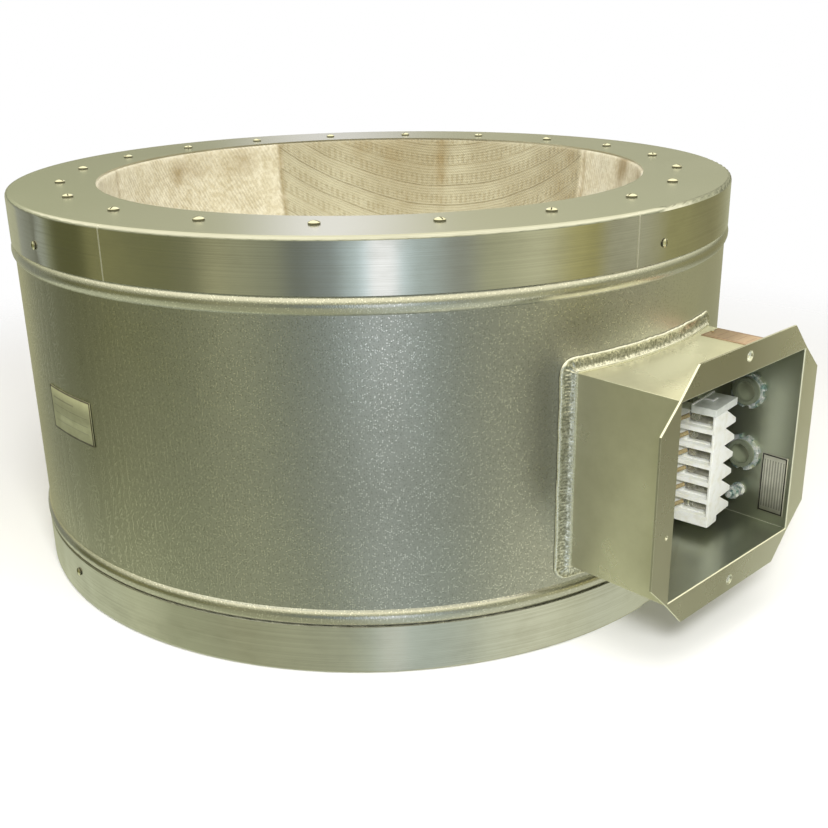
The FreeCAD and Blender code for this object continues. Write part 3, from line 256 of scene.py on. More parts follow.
coverLook = {
    "tint": fromScreen(228, 229, 227),
    "shade": fromScreen(202, 202, 197),
    # the flat ring's darker tint is painted shade that dims what it mirrors
    "ringShadedTint": fromScreen(204, 205, 197),
    "ringRough": 0.21,
    "rough": 0.12,
    "streakScale": 2200.0,    # brush lines for each metre of height
    "streakLength": 5.0,      # and for each metre round the drum
    "streakShare": 0.55,      # how far brush lines, stains and clouds pull the tint to its shade
    "stainShare": 0.4,
    "cloudShare": 0.3,
    "stainAcross": 7.0,       # stains for each radian round the drum
    "stainUp": 40.0,          # and for each metre of height
    "anisotropy": 0.7,
    "bumpDepth": 0.00002,
    "seams": [-5.4, -78.4],   # where the top cover's skirt is joined, in degrees round the drum
    "seamWidth": 1.0 * mm,
    # how far a seam's line is pulled to white: a painted highlight
    "seamPaintedHighlight": 0.6,
}


def coverMetal(name, look):
    # aluminium: skirts brushed round the drum, a smooth satin ring with a darker tint that is painted shade,
    # stains that run with the brushing, and seam lines drawn paler as a painted highlight
    material, tree, shader = startMaterial(name, look["tint"])
    angle, radius, level = roundDrum(tree)
    onSkirt = spread(tree, radius, outerRadius - 2.0 * mm, outerRadius - 0.6 * mm)
    turns = times(tree, angle, outerRadius * look["streakLength"])
    lines = joined(tree, turns, 0.0, times(tree, level, look["streakScale"]))
    streak = grain(tree, lines, 1.0, detail=4.0, roughness=0.65)
    smears = joined(tree, times(tree, angle, look["stainAcross"]), 0.0, times(tree, level, look["stainUp"]))
    stain = grain(tree, smears, 1.0, detail=4.0, roughness=0.6)
    cloud = grain(tree, objectPlace(tree), 7.0, detail=4.0, roughness=0.6)
    brushed = plus(tree, times(tree, spread(tree, streak, 0.35, 0.7), look["streakShare"]),
                   times(tree, spread(tree, stain, 0.4, 0.75), look["stainShare"]))
    clouded = times(tree, spread(tree, cloud, 0.4, 0.75), look["cloudShare"])
    share = calc(tree, "ADD", times(tree, brushed, onSkirt), clouded, clamp=True)
    # the ring takes its darker tint, painted shade, and the skirts their own
    colour = blendColours(tree, onSkirt, look["ringShadedTint"], look["tint"])
    colour = blendColours(tree, share, colour, look["shade"])
    seamed = 0.0
    for seam in look["seams"]:
        aside = calc(tree, "ABSOLUTE", minus(tree, angle, math.radians(seam)))
        line = spread(tree, times(tree, aside, outerRadius), look["seamWidth"], look["seamWidth"] * 0.4)
        seamed = calc(tree, "MAXIMUM", seamed, line)
    seamed = times(tree, seamed, onSkirt, calc(tree, "GREATER_THAN", level, skirtFoot))
    # the seam lines are drawn paler: a painted highlight along each join
    colour = blendColours(tree, times(tree, seamed, look["seamPaintedHighlight"]), colour, (1.0, 1.0, 1.0))
    tree.links.new(colour, shader.inputs["Base Color"])
    rough = spread(tree, onSkirt, 0.0, 1.0, look["ringRough"], look["rough"])
    rough = plus(tree, rough, times(tree, share, 0.10), times(tree, seamed, 0.25))
    tree.links.new(rough, shader.inputs["Roughness"])
    tree.links.new(times(tree, onSkirt, look["anisotropy"]), shader.inputs["Anisotropic"])
    shader.inputs["Anisotropic Rotation"].default_value = 0.25
    tangent = addNode(tree, "ShaderNodeTangent", direction_type="RADIAL", axis="Z")
    tree.links.new(tangent.outputs[0], shader.inputs["Tangent"])
    height = minus(tree, times(tree, streak, onSkirt), times(tree, seamed, 4.0))
    addBump(tree, shader, height, 0.3, look["bumpDepth"])
    return material


shellLook = {
    # painted light and shade: the sheet is tinted brighter or duller by where light fell round the drum:
    # (degrees round the drum, colour on screen)
    "tints": [
        (-180, (194, 190, 166)),
        (-152, (160, 152, 120)),
        (-118, (246, 241, 208)),
        (-86, (194, 195, 184)),
        (-60, (204, 207, 206)),
        (-34, (184, 186, 184)),
        (-12, (204, 205, 204)),
        (12, (246, 248, 248)),
        (50, (232, 230, 214)),
        (90, (206, 203, 184)),
        (180, (196, 192, 170)),
    ],
    # the beads' tops take a paler tint: a painted highlight
    "bead": fromScreen(212, 212, 206),
    "beadRise": 1.2 * mm,     # how far the beads' polished tops stand out from the shell
    "shading": 0.88,          # what is left of the tint where the sheet is clouded
    # random grains pulled towards white: painted glints, a painted highlight
    "paintedGlint": fromScreen(255, 255, 252),
    "paintedGlintShare": 0.65,
    "paintedGlintChance": (0.64, 0.86),    # grains above this chance glint
    # dark grains: painted shade in the skin's pits
    "pitShade": fromScreen(120, 122, 114),
    "pitShare": (0.45, 0.1),        # on the plain sheet and on a bead
    "pitChance": (0.40, 0.18),      # grains below this chance are pits
    "rough": 0.34,
    "grainScale": 900.0,
    "grainDepth": 0.00010,
    "grainFrom": -132.0,      # the pebbled part, in degrees round the drum; it is smoother beyond
    "grainTo": 22.0,
    "grainFade": 30.0,
}


def shellMetal(name, look):
    # mill sheet with a fine pebbled skin; the glints on random grains are painted highlights
    material, tree, shader = startMaterial(name, fromScreen(*look["tints"][0][1]))
    place = objectPlace(tree)
    angle, radius, _ = roundDrum(tree)
    onBead = spread(tree, radius, onShell, onShell + look["beadRise"])
    fade = math.radians(look["grainFade"])
    starts, ends = math.radians(look["grainFrom"]), math.radians(look["grainTo"])
    pebbled = times(tree, spread(tree, angle, starts, starts + fade, 0.05, 1.0),
                    spread(tree, angle, ends, ends - fade, 0.08, 1.0))
    cells = addNode(tree, "ShaderNodeTexVoronoi", {
        "Vector": place, "Scale": look["grainScale"], "Randomness": 1.0})
    pebble = cells.outputs["Distance"]
    chance = parted(tree, cells.outputs["Color"])[0]
    inCell = spread(tree, pebble, 0.55, 0.25)
    cloud = grain(tree, place, 5.0, detail=4.0, roughness=0.6)
    share = spread(tree, cloud, 0.35, 0.7)
    paintedGlint = times(tree, inCell, spread(tree, chance, *look["paintedGlintChance"]), pebbled)
    pitShade = times(tree, inCell, spread(tree, chance, *look["pitChance"]), pebbled)
    pitShade = times(tree, pitShade, spread(tree, onBead, 0.0, 1.0, *look["pitShare"]))
    # the tint follows the bearing round the drum: painted light and shade
    tint = bandRamp(tree, turnShare(tree, angle), look["tints"])
    clouded = blendColours(tree, 1.0, tint, (look["shading"],) * 3, "MULTIPLY")
    # a paler tint on the beads: painted highlight
    colour = blendColours(tree, onBead, blendColours(tree, share, tint, clouded), look["bead"])
    # painted shade in the pits of the pebbled skin
    colour = blendColours(tree, pitShade, colour, look["pitShade"])
    # painted glints: grains pulled to near white
    colour = blendColours(tree, times(tree, paintedGlint, look["paintedGlintShare"]), colour, look["paintedGlint"])
    tree.links.new(colour, shader.inputs["Base Color"])
    rough = spread(tree, share, 0.0, 1.0, look["rough"] - 0.03, look["rough"] + 0.05)
    rough = minus(tree, rough, times(tree, onBead, 0.08))
    tree.links.new(minus(tree, rough, times(tree, paintedGlint, 0.12)), shader.inputs["Roughness"])
    addBump(tree, shader, pebble, times(tree, pebbled, 0.5), look["grainDepth"])
    return material


boxLook = {
    "tint": fromScreen(232, 231, 212),
    "shade": fromScreen(214, 213, 192),
    # the faces inside the box are darker: painted shade
    "insideShadeTint": fromScreen(176, 181, 163),
    # folds and cut edges are paler and less metallic: a painted highlight
    "foldHighlightTint": fromScreen(246, 246, 226),
    "foldHighlightMetal": 0.75,        # folds and cut edges catch the light
    # painted light and shade across the flanges' fronts, darker at the left and paler at the right: the tints
    # at the open side's left and right, and the share of its width where the left one ends
    "flangeShadingTints": (fromScreen(178, 176, 160), fromScreen(248, 248, 242)),
    "flangeTurn": 0.45,
    "metal": 0.94,
    "rough": 0.30,
    "insideRough": 0.33,
    "wall": 1.6 * mm,
    "depth": 60.0 * mm,       # how far back from the open side the folds show
}


def boxMetal(name, look):
    # smooth satin sheet, clouded where it was handled; painted shade on the faces that look into the box,
    # which are also rougher
    material, tree, shader = startMaterial(name, look["tint"], metal=look["metal"])
    place = objectPlace(tree)
    x, y, z = parted(tree, place)
    halfWidth = (boxHigh.x - boxLow.x) / 2 - boxFlange - look["wall"] / 2
    halfHeight = (boxHigh.z - boxLow.z) / 2 - boxFlange - look["wall"] / 2
    middle = (boxHigh.z + boxLow.z) / 2
    inWidth = calc(tree, "LESS_THAN", calc(tree, "ABSOLUTE", x), halfWidth)
    inHeight = calc(tree, "LESS_THAN", calc(tree, "ABSOLUTE", minus(tree, z, middle)), halfHeight)
    inside = times(tree, inWidth, inHeight)
    cloud = grain(tree, place, 14.0, detail=5.0, roughness=0.62)
    share = spread(tree, cloud, 0.35, 0.75)
    outer = blendColours(tree, share, look["tint"], look["shade"])
    front = calc(tree, "LESS_THAN", y, boxLow.y + look["wall"] * 1.3)
    turnsAt = boxLow.x + look["flangeTurn"] * (boxHigh.x - boxLow.x)
    toRight = spread(tree, x, turnsAt, boxHigh.x, smooth=False)
    # the flanges' fronts shade from darker left to paler right: painted light and shade
    outer = blendColours(tree, front, outer, blendColours(tree, toRight, *look["flangeShadingTints"]))
    facing = 0.0              # near 1 on a flat wall, less on a rounded fold
    for part in parted(tree, faceNormal(tree)):
        facing = calc(tree, "MAXIMUM", facing, calc(tree, "ABSOLUTE", part))
    atFront = calc(tree, "LESS_THAN", y, boxLow.y + look["depth"])
    fold = times(tree, spread(tree, facing, 0.985, 0.93), atFront)
    # inside faces take a darker tint: painted shade
    sheetColour = blendColours(tree, inside, outer, look["insideShadeTint"])
    # rounded folds and cut edges pulled paler: painted highlight
    tree.links.new(blendColours(tree, fold, sheetColour, look["foldHighlightTint"]), shader.inputs["Base Color"])
    tree.links.new(spread(tree, fold, 0.0, 1.0, look["metal"], look["foldHighlightMetal"]), shader.inputs["Metallic"])
    rough = spread(tree, share, 0.0, 1.0, look["rough"] - 0.03, look["rough"] + 0.06)
    tree.links.new(spread(tree, inside, 0.0, 1.0, rough, look["insideRough"]), shader.inputs["Roughness"])
    return material


def fineMetal(name, tint, shade, rough, metal=1.0, scale=300.0, depth=0.00001):
    # small turned, pressed or plated parts
    material, tree, shader = startMaterial(name, tint, metal=metal, rough=rough)
    speck = grain(tree, objectPlace(tree), scale, detail=4.0, roughness=0.6)
    colour = blendColours(tree, spread(tree, speck, 0.35, 0.7), tint, shade)
    tree.links.new(colour, shader.inputs["Base Color"])
    tree.links.new(spread(tree, speck, 0.3, 0.7, rough - 0.05, rough + 0.12), shader.inputs["Roughness"])
    addBump(tree, shader, speck, 0.3, depth)
    return material


screwLook = {
    "tint": fromScreen(244, 242, 222),
    # the colour of the painted shade in slots and on the heads' sides
    "paintedShade": fromScreen(64, 58, 38),
    "rough": 0.18,
    "slotLevel": 0.75 * mm,   # below the head's top; only the slot's floor is flat and lower
}


def screwMetal(name, look, headTop, upright):
    # bright heads with painted shade in the slot and on the heads' sides down to the foot
    # headTop is the level of upright heads' tops, or the radius of the tops on a skirt
    material, tree, shader = startMaterial(name, look["tint"], rough=look["rough"])
    x, y, z = parted(tree, objectPlace(tree))
    radius = reachOf(tree, x, y)
    nx, ny, nz = parted(tree, faceNormal(tree))
    outward = calc(tree, "DIVIDE", plus(tree, times(tree, nx, x), times(tree, ny, y)), radius)
    facing, reach = (nz, z) if upright else (outward, radius)
    # the slot's sunk floor and the heads' sideways faces are darkened: painted shade
    below = calc(tree, "LESS_THAN", reach, headTop - look["slotLevel"])
    sunk = times(tree, spread(tree, facing, 0.9, 0.97), below)
    side = times(tree, spread(tree, facing, 0.6, 0.2), 0.75)
    paintedShade = calc(tree, "MAXIMUM", sunk, side)
    tree.links.new(blendColours(tree, paintedShade, look["tint"], look["paintedShade"]), shader.inputs["Base Color"])
    rough = plus(tree, times(tree, paintedShade, 0.3), look["rough"])
    tree.links.new(rough, shader.inputs["Roughness"])
    return material


hubLook = {
    "end": fromScreen(98, 104, 86),
    "bore": fromScreen(134, 141, 116),
    "reach": 5.0 * mm,        # from the end that shows in the box to where the bore's painted paler tint is full
    "rough": 0.6,
}


def hubMetal(name, look):
    # dull casting, darker at the end inside the box and paler down the bore: painted light and shade, so that
    # it reads as one flat disc
    material, tree, shader = startMaterial(name, look["end"], metal=0.0, rough=look["rough"])
    x = parted(tree, objectPlace(tree))[0]
    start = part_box("conduit_hub_upper")[0].x
    deep = spread(tree, x, start + 0.5 * mm, start + look["reach"])
    # painted shade at the end, painted light down the bore
    tree.links.new(blendColours(tree, deep, look["end"], look["bore"]), shader.inputs["Base Color"])
    addBump(tree, shader, grain(tree, objectPlace(tree), 500.0), 0.2, 0.00002)
    return material


def nylon(name, tint, shade, highlightRim=None):
    # moulded terminal plastic, faintly waxy; a rim is a level and the paler colour of what stands above it, a
    # painted highlight
    material, tree, shader = startMaterial(name, tint, metal=0.0, rough=0.34)
    cloud = grain(tree, objectPlace(tree), 140.0, detail=4.0, roughness=0.6)
    colour = blendColours(tree, spread(tree, cloud, 0.4, 0.75), tint, shade)
    if highlightRim:
        level = roundDrum(tree)[2]
        # paler above the rim's level: painted highlight
        colour = blendColours(tree, calc(tree, "GREATER_THAN", level, highlightRim[0]), colour, highlightRim[1])
    tree.links.new(colour, shader.inputs["Base Color"])
    tree.links.new(spread(tree, cloud, 0.3, 0.7, 0.28, 0.42), shader.inputs["Roughness"])
    shader.inputs["Subsurface Weight"].default_value = 0.15
    shader.inputs["Subsurface Radius"].default_value = (0.002, 0.002, 0.0015)
    shader.inputs["Subsurface Scale"].default_value = 1.0
    addBump(tree, shader, grain(tree, objectPlace(tree), 900.0, detail=2.0), 0.15, 0.00004)
    return material


def woven(name, tint, shade, scale, depth, rough=0.85, metal=0.0):
    # braided or felted glass fibre, for sleeves, heater cord and insulation
    material, tree, shader = startMaterial(name, tint, metal=metal, rough=rough)
    place = objectPlace(tree)
    cells = addNode(tree, "ShaderNodeTexVoronoi", {"Vector": place, "Scale": scale, "Randomness": 0.6})
    fibre = grain(tree, place, scale * 2.2, detail=5.0, roughness=0.7, distortion=0.6)
    height = minus(tree, fibre, times(tree, cells.outputs["Distance"], 0.7))
    colour = blendColours(tree, spread(tree, height, -0.1, 0.5), shade, tint)
    tree.links.new(colour, shader.inputs["Base Color"])
    shader.inputs["Sheen Weight"].default_value = 0.2
    addBump(tree, shader, height, 0.7, depth)
    return material


clothLook = {
    "light": fromScreen(200, 195, 166),
    "plain": fromScreen(172, 163, 132),
    "ribLight": fromScreen(232, 226, 202),
    "ribPlain": fromScreen(204, 194, 162),
    # the colour of the painted shade in the knit's grooves
    "paintedShade": fromScreen(146, 130, 92),
    # the colour of scorch marks, also used for the painted shade along the seams
    "scorchAndShade": fromScreen(150, 128, 82),
    "fluff": fromScreen(236, 234, 214),
    "bandPitch": 21.0 * mm,
    "tickPitch": 5.6 * mm,
    "threadPitch": 2.9 * mm,
    "ribPitch": 3.6 * mm,
    "wander": 6.0 * mm,       # how far the courses stray up and down
    "depth": 0.0007,
    "lineShare": 0.30,        # how far each mark pulls the cloth to its dark
    "furrowShare": 0.38,
    "stitchShare": 0.36,
    "edgeShare": 0.5,
}


def wave(tree, value, pitch, sharpness=1.0):
    # a smooth ripple from 0 to 1 that repeats once for each pitch
    turned = times(tree, value, 2 * math.pi / pitch)
    ripple = plus(tree, times(tree, calc(tree, "SINE", turned), 0.5), 0.5)
    return ripple if sharpness == 1.0 else calc(tree, "POWER", ripple, sharpness)


def wellCloth(name, look):
    # knitted glass tape laid in curved courses: a dark line, plain threads, then upright rows of stitches;
    # lines, furrows, stitches and course edges are darkened where the bump sinks, painted shade in the knit's
    # grooves
    material, tree, shader = startMaterial(name, look["plain"], metal=0.0, rough=0.82)
    flat = addNode(tree, "ShaderNodeUVMap", uv_map="gore").outputs[0]
    across, along = parted(tree, flat)[:2]
    place = objectPlace(tree)
    aside = minus(tree, grain(tree, place, 14.0, detail=2.0), 0.5)
    wander = times(tree, aside, look["wander"])
    rows = plus(tree, along, wander)
    columns = plus(tree, across, times(tree, wander, 0.7))
    ribbed = addNode(tree, "ShaderNodeAttribute", attribute_name="ribbed").outputs["Fac"]
    inCourses = minus(tree, 1.0, ribbed)
    step = calc(tree, "FRACT", calc(tree, "DIVIDE", rows, look["bandPitch"]))
    fromMiddle = calc(tree, "ABSOLUTE", minus(tree, step, 0.5))
    edge = times(tree, spread(tree, fromMiddle, 0.44, 0.5),
                 spread(tree, grain(tree, place, 60.0), 0.3, 0.6, 0.5, 1.0), inCourses)
    stitched = times(tree, spread(tree, step, 0.42, 0.54), spread(tree, step, 0.97, 0.88))
    tick = spread(tree, wave(tree, columns, look["tickPitch"]), 0.75, 0.2)
    thread = wave(tree, rows, look["threadPitch"])
    rib = wave(tree, rows, look["ribPitch"])
    slanted = plus(tree, columns, times(tree, rows, 0.8))
    twist = wave(tree, slanted, look["threadPitch"] * 0.8)
    broken = spread(tree, grain(tree, place, 210.0, detail=2.0), 0.3, 0.6, 0.25, 1.0)
    stitches = times(tree, stitched, tick, broken, inCourses)
    lines = times(tree, minus(tree, 1.0, thread), broken, inCourses)
    fainter = spread(tree, grain(tree, place, 26.0, detail=2.0), 0.38, 0.62, 0.1, 1.0)
    furrow = times(tree, minus(tree, 1.0, rib), broken, ribbed, fainter)
    fuzz = grain(tree, place, 420.0, detail=4.0, roughness=0.7)
    patch = grain(tree, place, 12.0, detail=3.0)
    seamShadeAndMarks = addNode(tree, "ShaderNodeAttribute", attribute_name="seamShadeAndMarks").outputs["Fac"]
    blotch = plus(tree, times(tree, spread(tree, grain(tree, place, 55.0), 0.36, 0.64), 0.35),
                  times(tree, spread(tree, grain(tree, place, 230.0), 0.36, 0.64), 0.65))
    courses = blendColours(tree, spread(tree, patch, 0.35, 0.7), look["plain"], look["light"])
    ribs = blendColours(tree, blotch, look["ribPlain"], look["ribLight"])
    colour = blendColours(tree, ribbed, courses, ribs)
    # lines between threads, furrows between ribs, stitches and course edges pulled dark: painted shade where
    # the bump sinks
    marks = [(lines, "lineShare"), (furrow, "furrowShare"), (stitches, "stitchShare"), (edge, "edgeShare")]
    for mark, share in marks:
        colour = blendColours(tree, times(tree, mark, look[share]), colour, look["paintedShade"])
    fuzzTint = blendColours(tree, ribbed, look["light"], look["ribLight"])
    colour = blendColours(tree, times(tree, spread(tree, fuzz, 0.45, 0.75), 0.45), colour, fuzzTint)
    # low tones take the scorch colour: scorch marks and the painted shade along the seams
    scorchedAndShaded = spread(tree, seamShadeAndMarks, 0.5, 0.0, 0.0, 0.8, smooth=False)
    colour = blendColours(tree, scorchedAndShaded, colour, look["scorchAndShade"])
    fluffy = spread(tree, seamShadeAndMarks, 0.5, 1.0, 0.0, 0.85, smooth=False)
    tuft = grain(tree, place, 260.0, detail=5.0, roughness=0.75, distortion=1.2)
    tufted = times(tree, fluffy, spread(tree, tuft, 0.38, 0.6))
    tree.links.new(blendColours(tree, tufted, colour, look["fluff"]), shader.inputs["Base Color"])
    raised = plus(tree, times(tree, thread, inCourses, 0.5), times(tree, fuzz, 0.6),
                  times(tree, rib, ribbed, 0.5), times(tree, twist, 0.25), times(tree, tuft, fluffy, 2.0))
    sunk = plus(tree, times(tree, stitches, 0.7), times(tree, edge, 1.2))
    height = minus(tree, raised, sunk)
    shader.inputs["Sheen Weight"].default_value = 0.15
    shader.inputs["Sheen Roughness"].default_value = 0.6
    addBump(tree, shader, height, 0.8, look["depth"])
    return material


weldLook = {
    "tint": fromScreen(255, 255, 250),
    "shade": fromScreen(172, 172, 160),
}


def weldMetal(name, look):
    # bright toes, a darker rippled middle with small pits
    material, tree, shader = startMaterial(name, look["tint"], rough=0.3)
    place = objectPlace(tree)
    flat = addNode(tree, "ShaderNodeAttribute", attribute_name="fill").outputs["Fac"]
    pits = grain(tree, place, 420.0, detail=5.0, roughness=0.7)
    share = times(tree, flat, spread(tree, pits, 0.4, 0.6, 0.1, 1.0))
    tree.links.new(blendColours(tree, share, look["tint"], look["shade"]), shader.inputs["Base Color"])
    tree.links.new(spread(tree, pits, 0.3, 0.7, 0.22, 0.42), shader.inputs["Roughness"])
    addBump(tree, shader, pits, 0.6, 0.0003)
    return material


def plateFace(name, look):
    # a bare label: a thin border and a few blank rules, on the plate's own flat coordinates in metres
    tint, ink = look["tints"]
    width, height = look["size"]
    material, tree, shader = startMaterial(name, tint, metal=0.6, rough=0.36)
    flat = addNode(tree, "ShaderNodeUVMap", uv_map="plate").outputs[0]
    across, up = parted(tree, flat)[:2]
    toSide = calc(tree, "MINIMUM",
                  minus(tree, width / 2, calc(tree, "ABSOLUTE", across)),
                  minus(tree, height / 2, calc(tree, "ABSOLUTE", up)))
    onLine = times(tree, calc(tree, "GREATER_THAN", toSide, look["inset"]),
                   calc(tree, "LESS_THAN", toSide, look["inset"] + look["border"]))
    for left, right, level, thick in look["rules"]:
        inWidth = times(tree, calc(tree, "GREATER_THAN", across, left),
                        calc(tree, "LESS_THAN", across, right))
        inHeight = calc(tree, "LESS_THAN", calc(tree, "ABSOLUTE", minus(tree, up, level)), thick / 2)
        onLine = calc(tree, "MAXIMUM", onLine, times(tree, inWidth, inHeight, 0.55))
    worn = grain(tree, objectPlace(tree), 120.0, detail=4.0)
    base = blendColours(tree, spread(tree, worn, 0.4, 0.75, 0.0, 0.35), tint, tuple(v * 0.75 for v in tint))
    tree.links.new(blendColours(tree, onLine, base, ink), shader.inputs["Base Color"])
    metal = minus(tree, 0.6, times(tree, onLine, 0.6))
    tree.links.new(metal, shader.inputs["Metallic"])
    tree.links.new(spread(tree, worn, 0.3, 0.7, 0.3, 0.45), shader.inputs["Roughness"])
    addBump(tree, shader, worn, 0.15, 0.00003)
    return material


cover = coverMetal("brushed_cover", coverLook)
shell = shellMetal("pebbled_shell", shellLook)
boxSheet = boxMetal("satin_box", boxLook)
bright = fineMetal("bright_rivet", fromScreen(228, 226, 208), fromScreen(200, 198, 178), 0.20)
ringScrew = screwMetal("ring_screw", screwLook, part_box("top_cover_screws")[1].z, True)
skirtScrew = screwMetal("skirt_screw", screwLook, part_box("base_skirt_screws")[1].x, False)
zinc = fineMetal("zinc_plate", fromScreen(255, 255, 255), fromScreen(84, 136, 126), 0.12,
                 metal=0.7, scale=210.0)
springZinc = fineMetal("spring_plate", fromScreen(240, 243, 236), fromScreen(214, 218, 208), 0.24,
                       metal=0.6)
castGrey = hubMetal("cast_hub", hubLook)
# the clamps are tinted darker than the nickel screws: painted shade in the terminal cells
shadedClampPlate = fineMetal("shaded_clamp_plate", fromScreen(184, 182, 172), fromScreen(140, 138, 128), 0.3,
                       metal=0.85, scale=90.0)
nickel = fineMetal("nickel_plate", fromScreen(250, 249, 242), fromScreen(206, 204, 192), 0.18,
                   metal=0.85, scale=90.0)
railMetal = fineMetal("rail_steel", fromScreen(190, 190, 176), fromScreen(160, 158, 140), 0.35)
ringMetal = fineMetal("mill_ring", fromScreen(190, 190, 184), fromScreen(165, 165, 158), 0.4)
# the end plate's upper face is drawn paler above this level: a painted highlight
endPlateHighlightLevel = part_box("terminal_end_plate")[1].z - 0.7 * mm    # its upper face, which catches the light
whiteNylon = nylon("white_nylon", fromScreen(240, 242, 236), fromScreen(228, 228, 214))
greyNylon = nylon("end_plate_nylon", fromScreen(214, 218, 211), fromScreen(200, 204, 196),
                  highlightRim=(endPlateHighlightLevel, fromScreen(255, 255, 252)))
sleeve = woven("varnished_sleeve", fromScreen(184, 170, 128), fromScreen(138, 122, 84), 1100.0, 0.0003)
cordWeave = woven("heater_cord", fromScreen(214, 202, 170), fromScreen(160, 140, 100), 500.0, 0.0005)
wool = woven("glass_wool", fromScreen(232, 222, 176), fromScreen(200, 184, 128), 160.0, 0.0012,
             rough=0.95)
glaze = nylon("bushing_glaze", fromScreen(232, 228, 214), fromScreen(214, 208, 190))
cloth = wellCloth("knitted_glass", clothLook)
bead = weldMetal("weld_bead", weldLook)
print("materials made")


def dress(material, *names):
    for name in names:
        piece = nodes[name]
        piece.data.materials.clear()
        piece.data.materials.append(material)


dress(cover, "top_cover", "base_pan")
dress(shell, "housing_shell")
dress(bright, "label_rivet")
dress(ringScrew, "top_cover_screws")
dress(skirtScrew, "top_skirt_screws", "base_skirt_screws")
dress(zinc, "conduit_locknut_upper", "conduit_locknut_lower", "ground_stud", "ground_washers", "ground_nuts")
dress(castGrey, "conduit_hub_upper", "conduit_hub_lower")
dress(springZinc, "spring_nut_top", "spring_nut_bottom")
dress(shadedClampPlate, "terminal_clamps")
dress(nickel, "terminal_screws")
dress(railMetal, "terminal_rail", "rail_spacers", "rail_screws")
dress(ringMetal, "top_clamp_ring")
dress(cordWeave, "heater_zone_lower", "heater_zone_middle", "heater_zone_upper")
dress(wool, "insulation_side", "insulation_base")
dress(glaze, "lead_bushing")
dress(sleeve, *["lead_wire_%d" % number for number in range(1, 7)])


# Mesh helpers

def finishMesh(name, mesh, material, smoothAngle=35.0):
    data = bpy.data.meshes.new(name)
    mesh.to_mesh(data)
    mesh.free()
    data.materials.append(material)
    data.shade_smooth()
    data.set_sharp_from_angle(angle=math.radians(smoothAngle))
    piece = bpy.data.objects.new(name, data)
    bpy.context.scene.collection.objects.link(piece)
    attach(piece, "root")
    return piece


def recleaned(node):
    # a copy of a solid's own mesh, its loose triangles joined and its flat faces made whole
    mesh = bmesh.new()
    mesh.from_mesh(nodes[node].data)
    bmesh.ops.remove_doubles(mesh, verts=mesh.verts, dist=0.00001)
    bmesh.ops.dissolve_limit(mesh, angle_limit=math.radians(1.0), verts=mesh.verts, edges=mesh.edges)
    return mesh


def softened(node, material, width, segments=2, angle=35.0):
    # the solid with its sharp edges rounded, in its place
    piece = finishMesh(node + "_finished", recleaned(node), material)
    rounding = piece.modifiers.new("rounding", "BEVEL")
    rounding.width = width
    rounding.segments = segments
    rounding.limit_method = "ANGLE"
    rounding.angle_limit = math.radians(angle)
    rounding.harden_normals = True
    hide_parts(node)
    return piece


# Terminal block and terminal box, with moulded and folded edges

roundedEdges = {"section": 0.45 * mm, "plate": 0.35 * mm, "box": 0.7 * mm}

for number in range(1, 7):
    softened("terminal_section_%d" % number, whiteNylon, roundedEdges["section"])
softened("terminal_end_stop", whiteNylon, roundedEdges["section"])
softened("terminal_end_plate", greyNylon, roundedEdges["plate"])
softened("terminal_box", boxSheet, roundedEdges["box"], segments=3)
print("terminal block finished")


# Fabric well

wellSizes = {
    "seams": [163.0, 119.5, 75.1, 31.0, -13.0, -57.0, -101.0, -140.0],   # round the drum, in degrees
    "facingSeam": 119.5,     # the seam that two gores' courses hang from
    "facingSpan": 43.5,
    "ribTilt": -62.0,
    # marks: bearing, width in degrees, depth and length in metres, darker or paler
    "marks": [
        (119.5, 1.5, 0.012, 0.030, -0.48),
        (193.0, 3.5, 0.012, 0.012, -0.40),
        (186.0, 4.5, 0.007, 0.009, -0.34),
        (175.0, 5.5, 0.009, 0.012, -0.28),
        (66.5, 5.0, 0.04, 0.12, 0.60),
        (56.0, 4.6, 0.03, 0.10, -0.50),
        (42.0, 3.0, 0.03, 0.10, -0.40),
        (80.0, 5.0, 0.03, 0.10, -0.22),
        (135.0, 9.0, 0.006, 0.02, -0.20),
    ],
    "spinSteps": 360,
    "arcSteps": 90,
    "lip": 2.0 * mm,         # how far the cloth turns outwards in a round lip below the cover
    "lipSteps": 3,
    "rimInset": 0.5 * mm,    # the rim ends this far inside the solid's
    "wall": 3.4 * mm,        # a little under the solid's, so that the cloth stays clear of the wool
    "seamDepth": 0.65 * mm,
    "seamWidth": 2.2 * mm,
    "pillow": 0.72 * mm,     # how far the cloth stands in where it is full
    "fullAt": 40.0 * mm,     # the distance from a seam at which it is
    "calmRim": 12.0 * mm,    # seams and fullness fade out over this height below the rim
    "ripple": 0.4 * mm,
    "rippleScale": 35.0,
    # the seams are drawn darker: painted shade in their creases
    "seamPaintedShade": 0.30,        # how dark a seam is drawn, and how wide
    "seamPaintedShadeWidth": 1.5 * mm,
    "markScale": 60.0,
    "flat": (1.458, 0.392),  # eight gores side by side, and from the pole to the rim's edge
    "flatArea": 0.376,
    "sag": 2.1,              # how far a course hangs, for each metre across, squared
}


def bearing(point):
    # the angle round the drum, from the terminal box's side towards +X
    return math.degrees(math.atan2(point.x, -point.y))


def signedGap(first, second):
    return (first - second + 180.0) % 360.0 - 180.0


def goreMiddle(angle, seams):
    # the middle of the gore that an angle lies in
    ordered = sorted(seams)
    for index, start in enumerate(ordered):
        end = ordered[(index + 1) % len(ordered)]
        width = (end - start) % 360.0
        inside = (angle - start) % 360.0
        if inside < width:
            return start + width / 2
    return 0.0


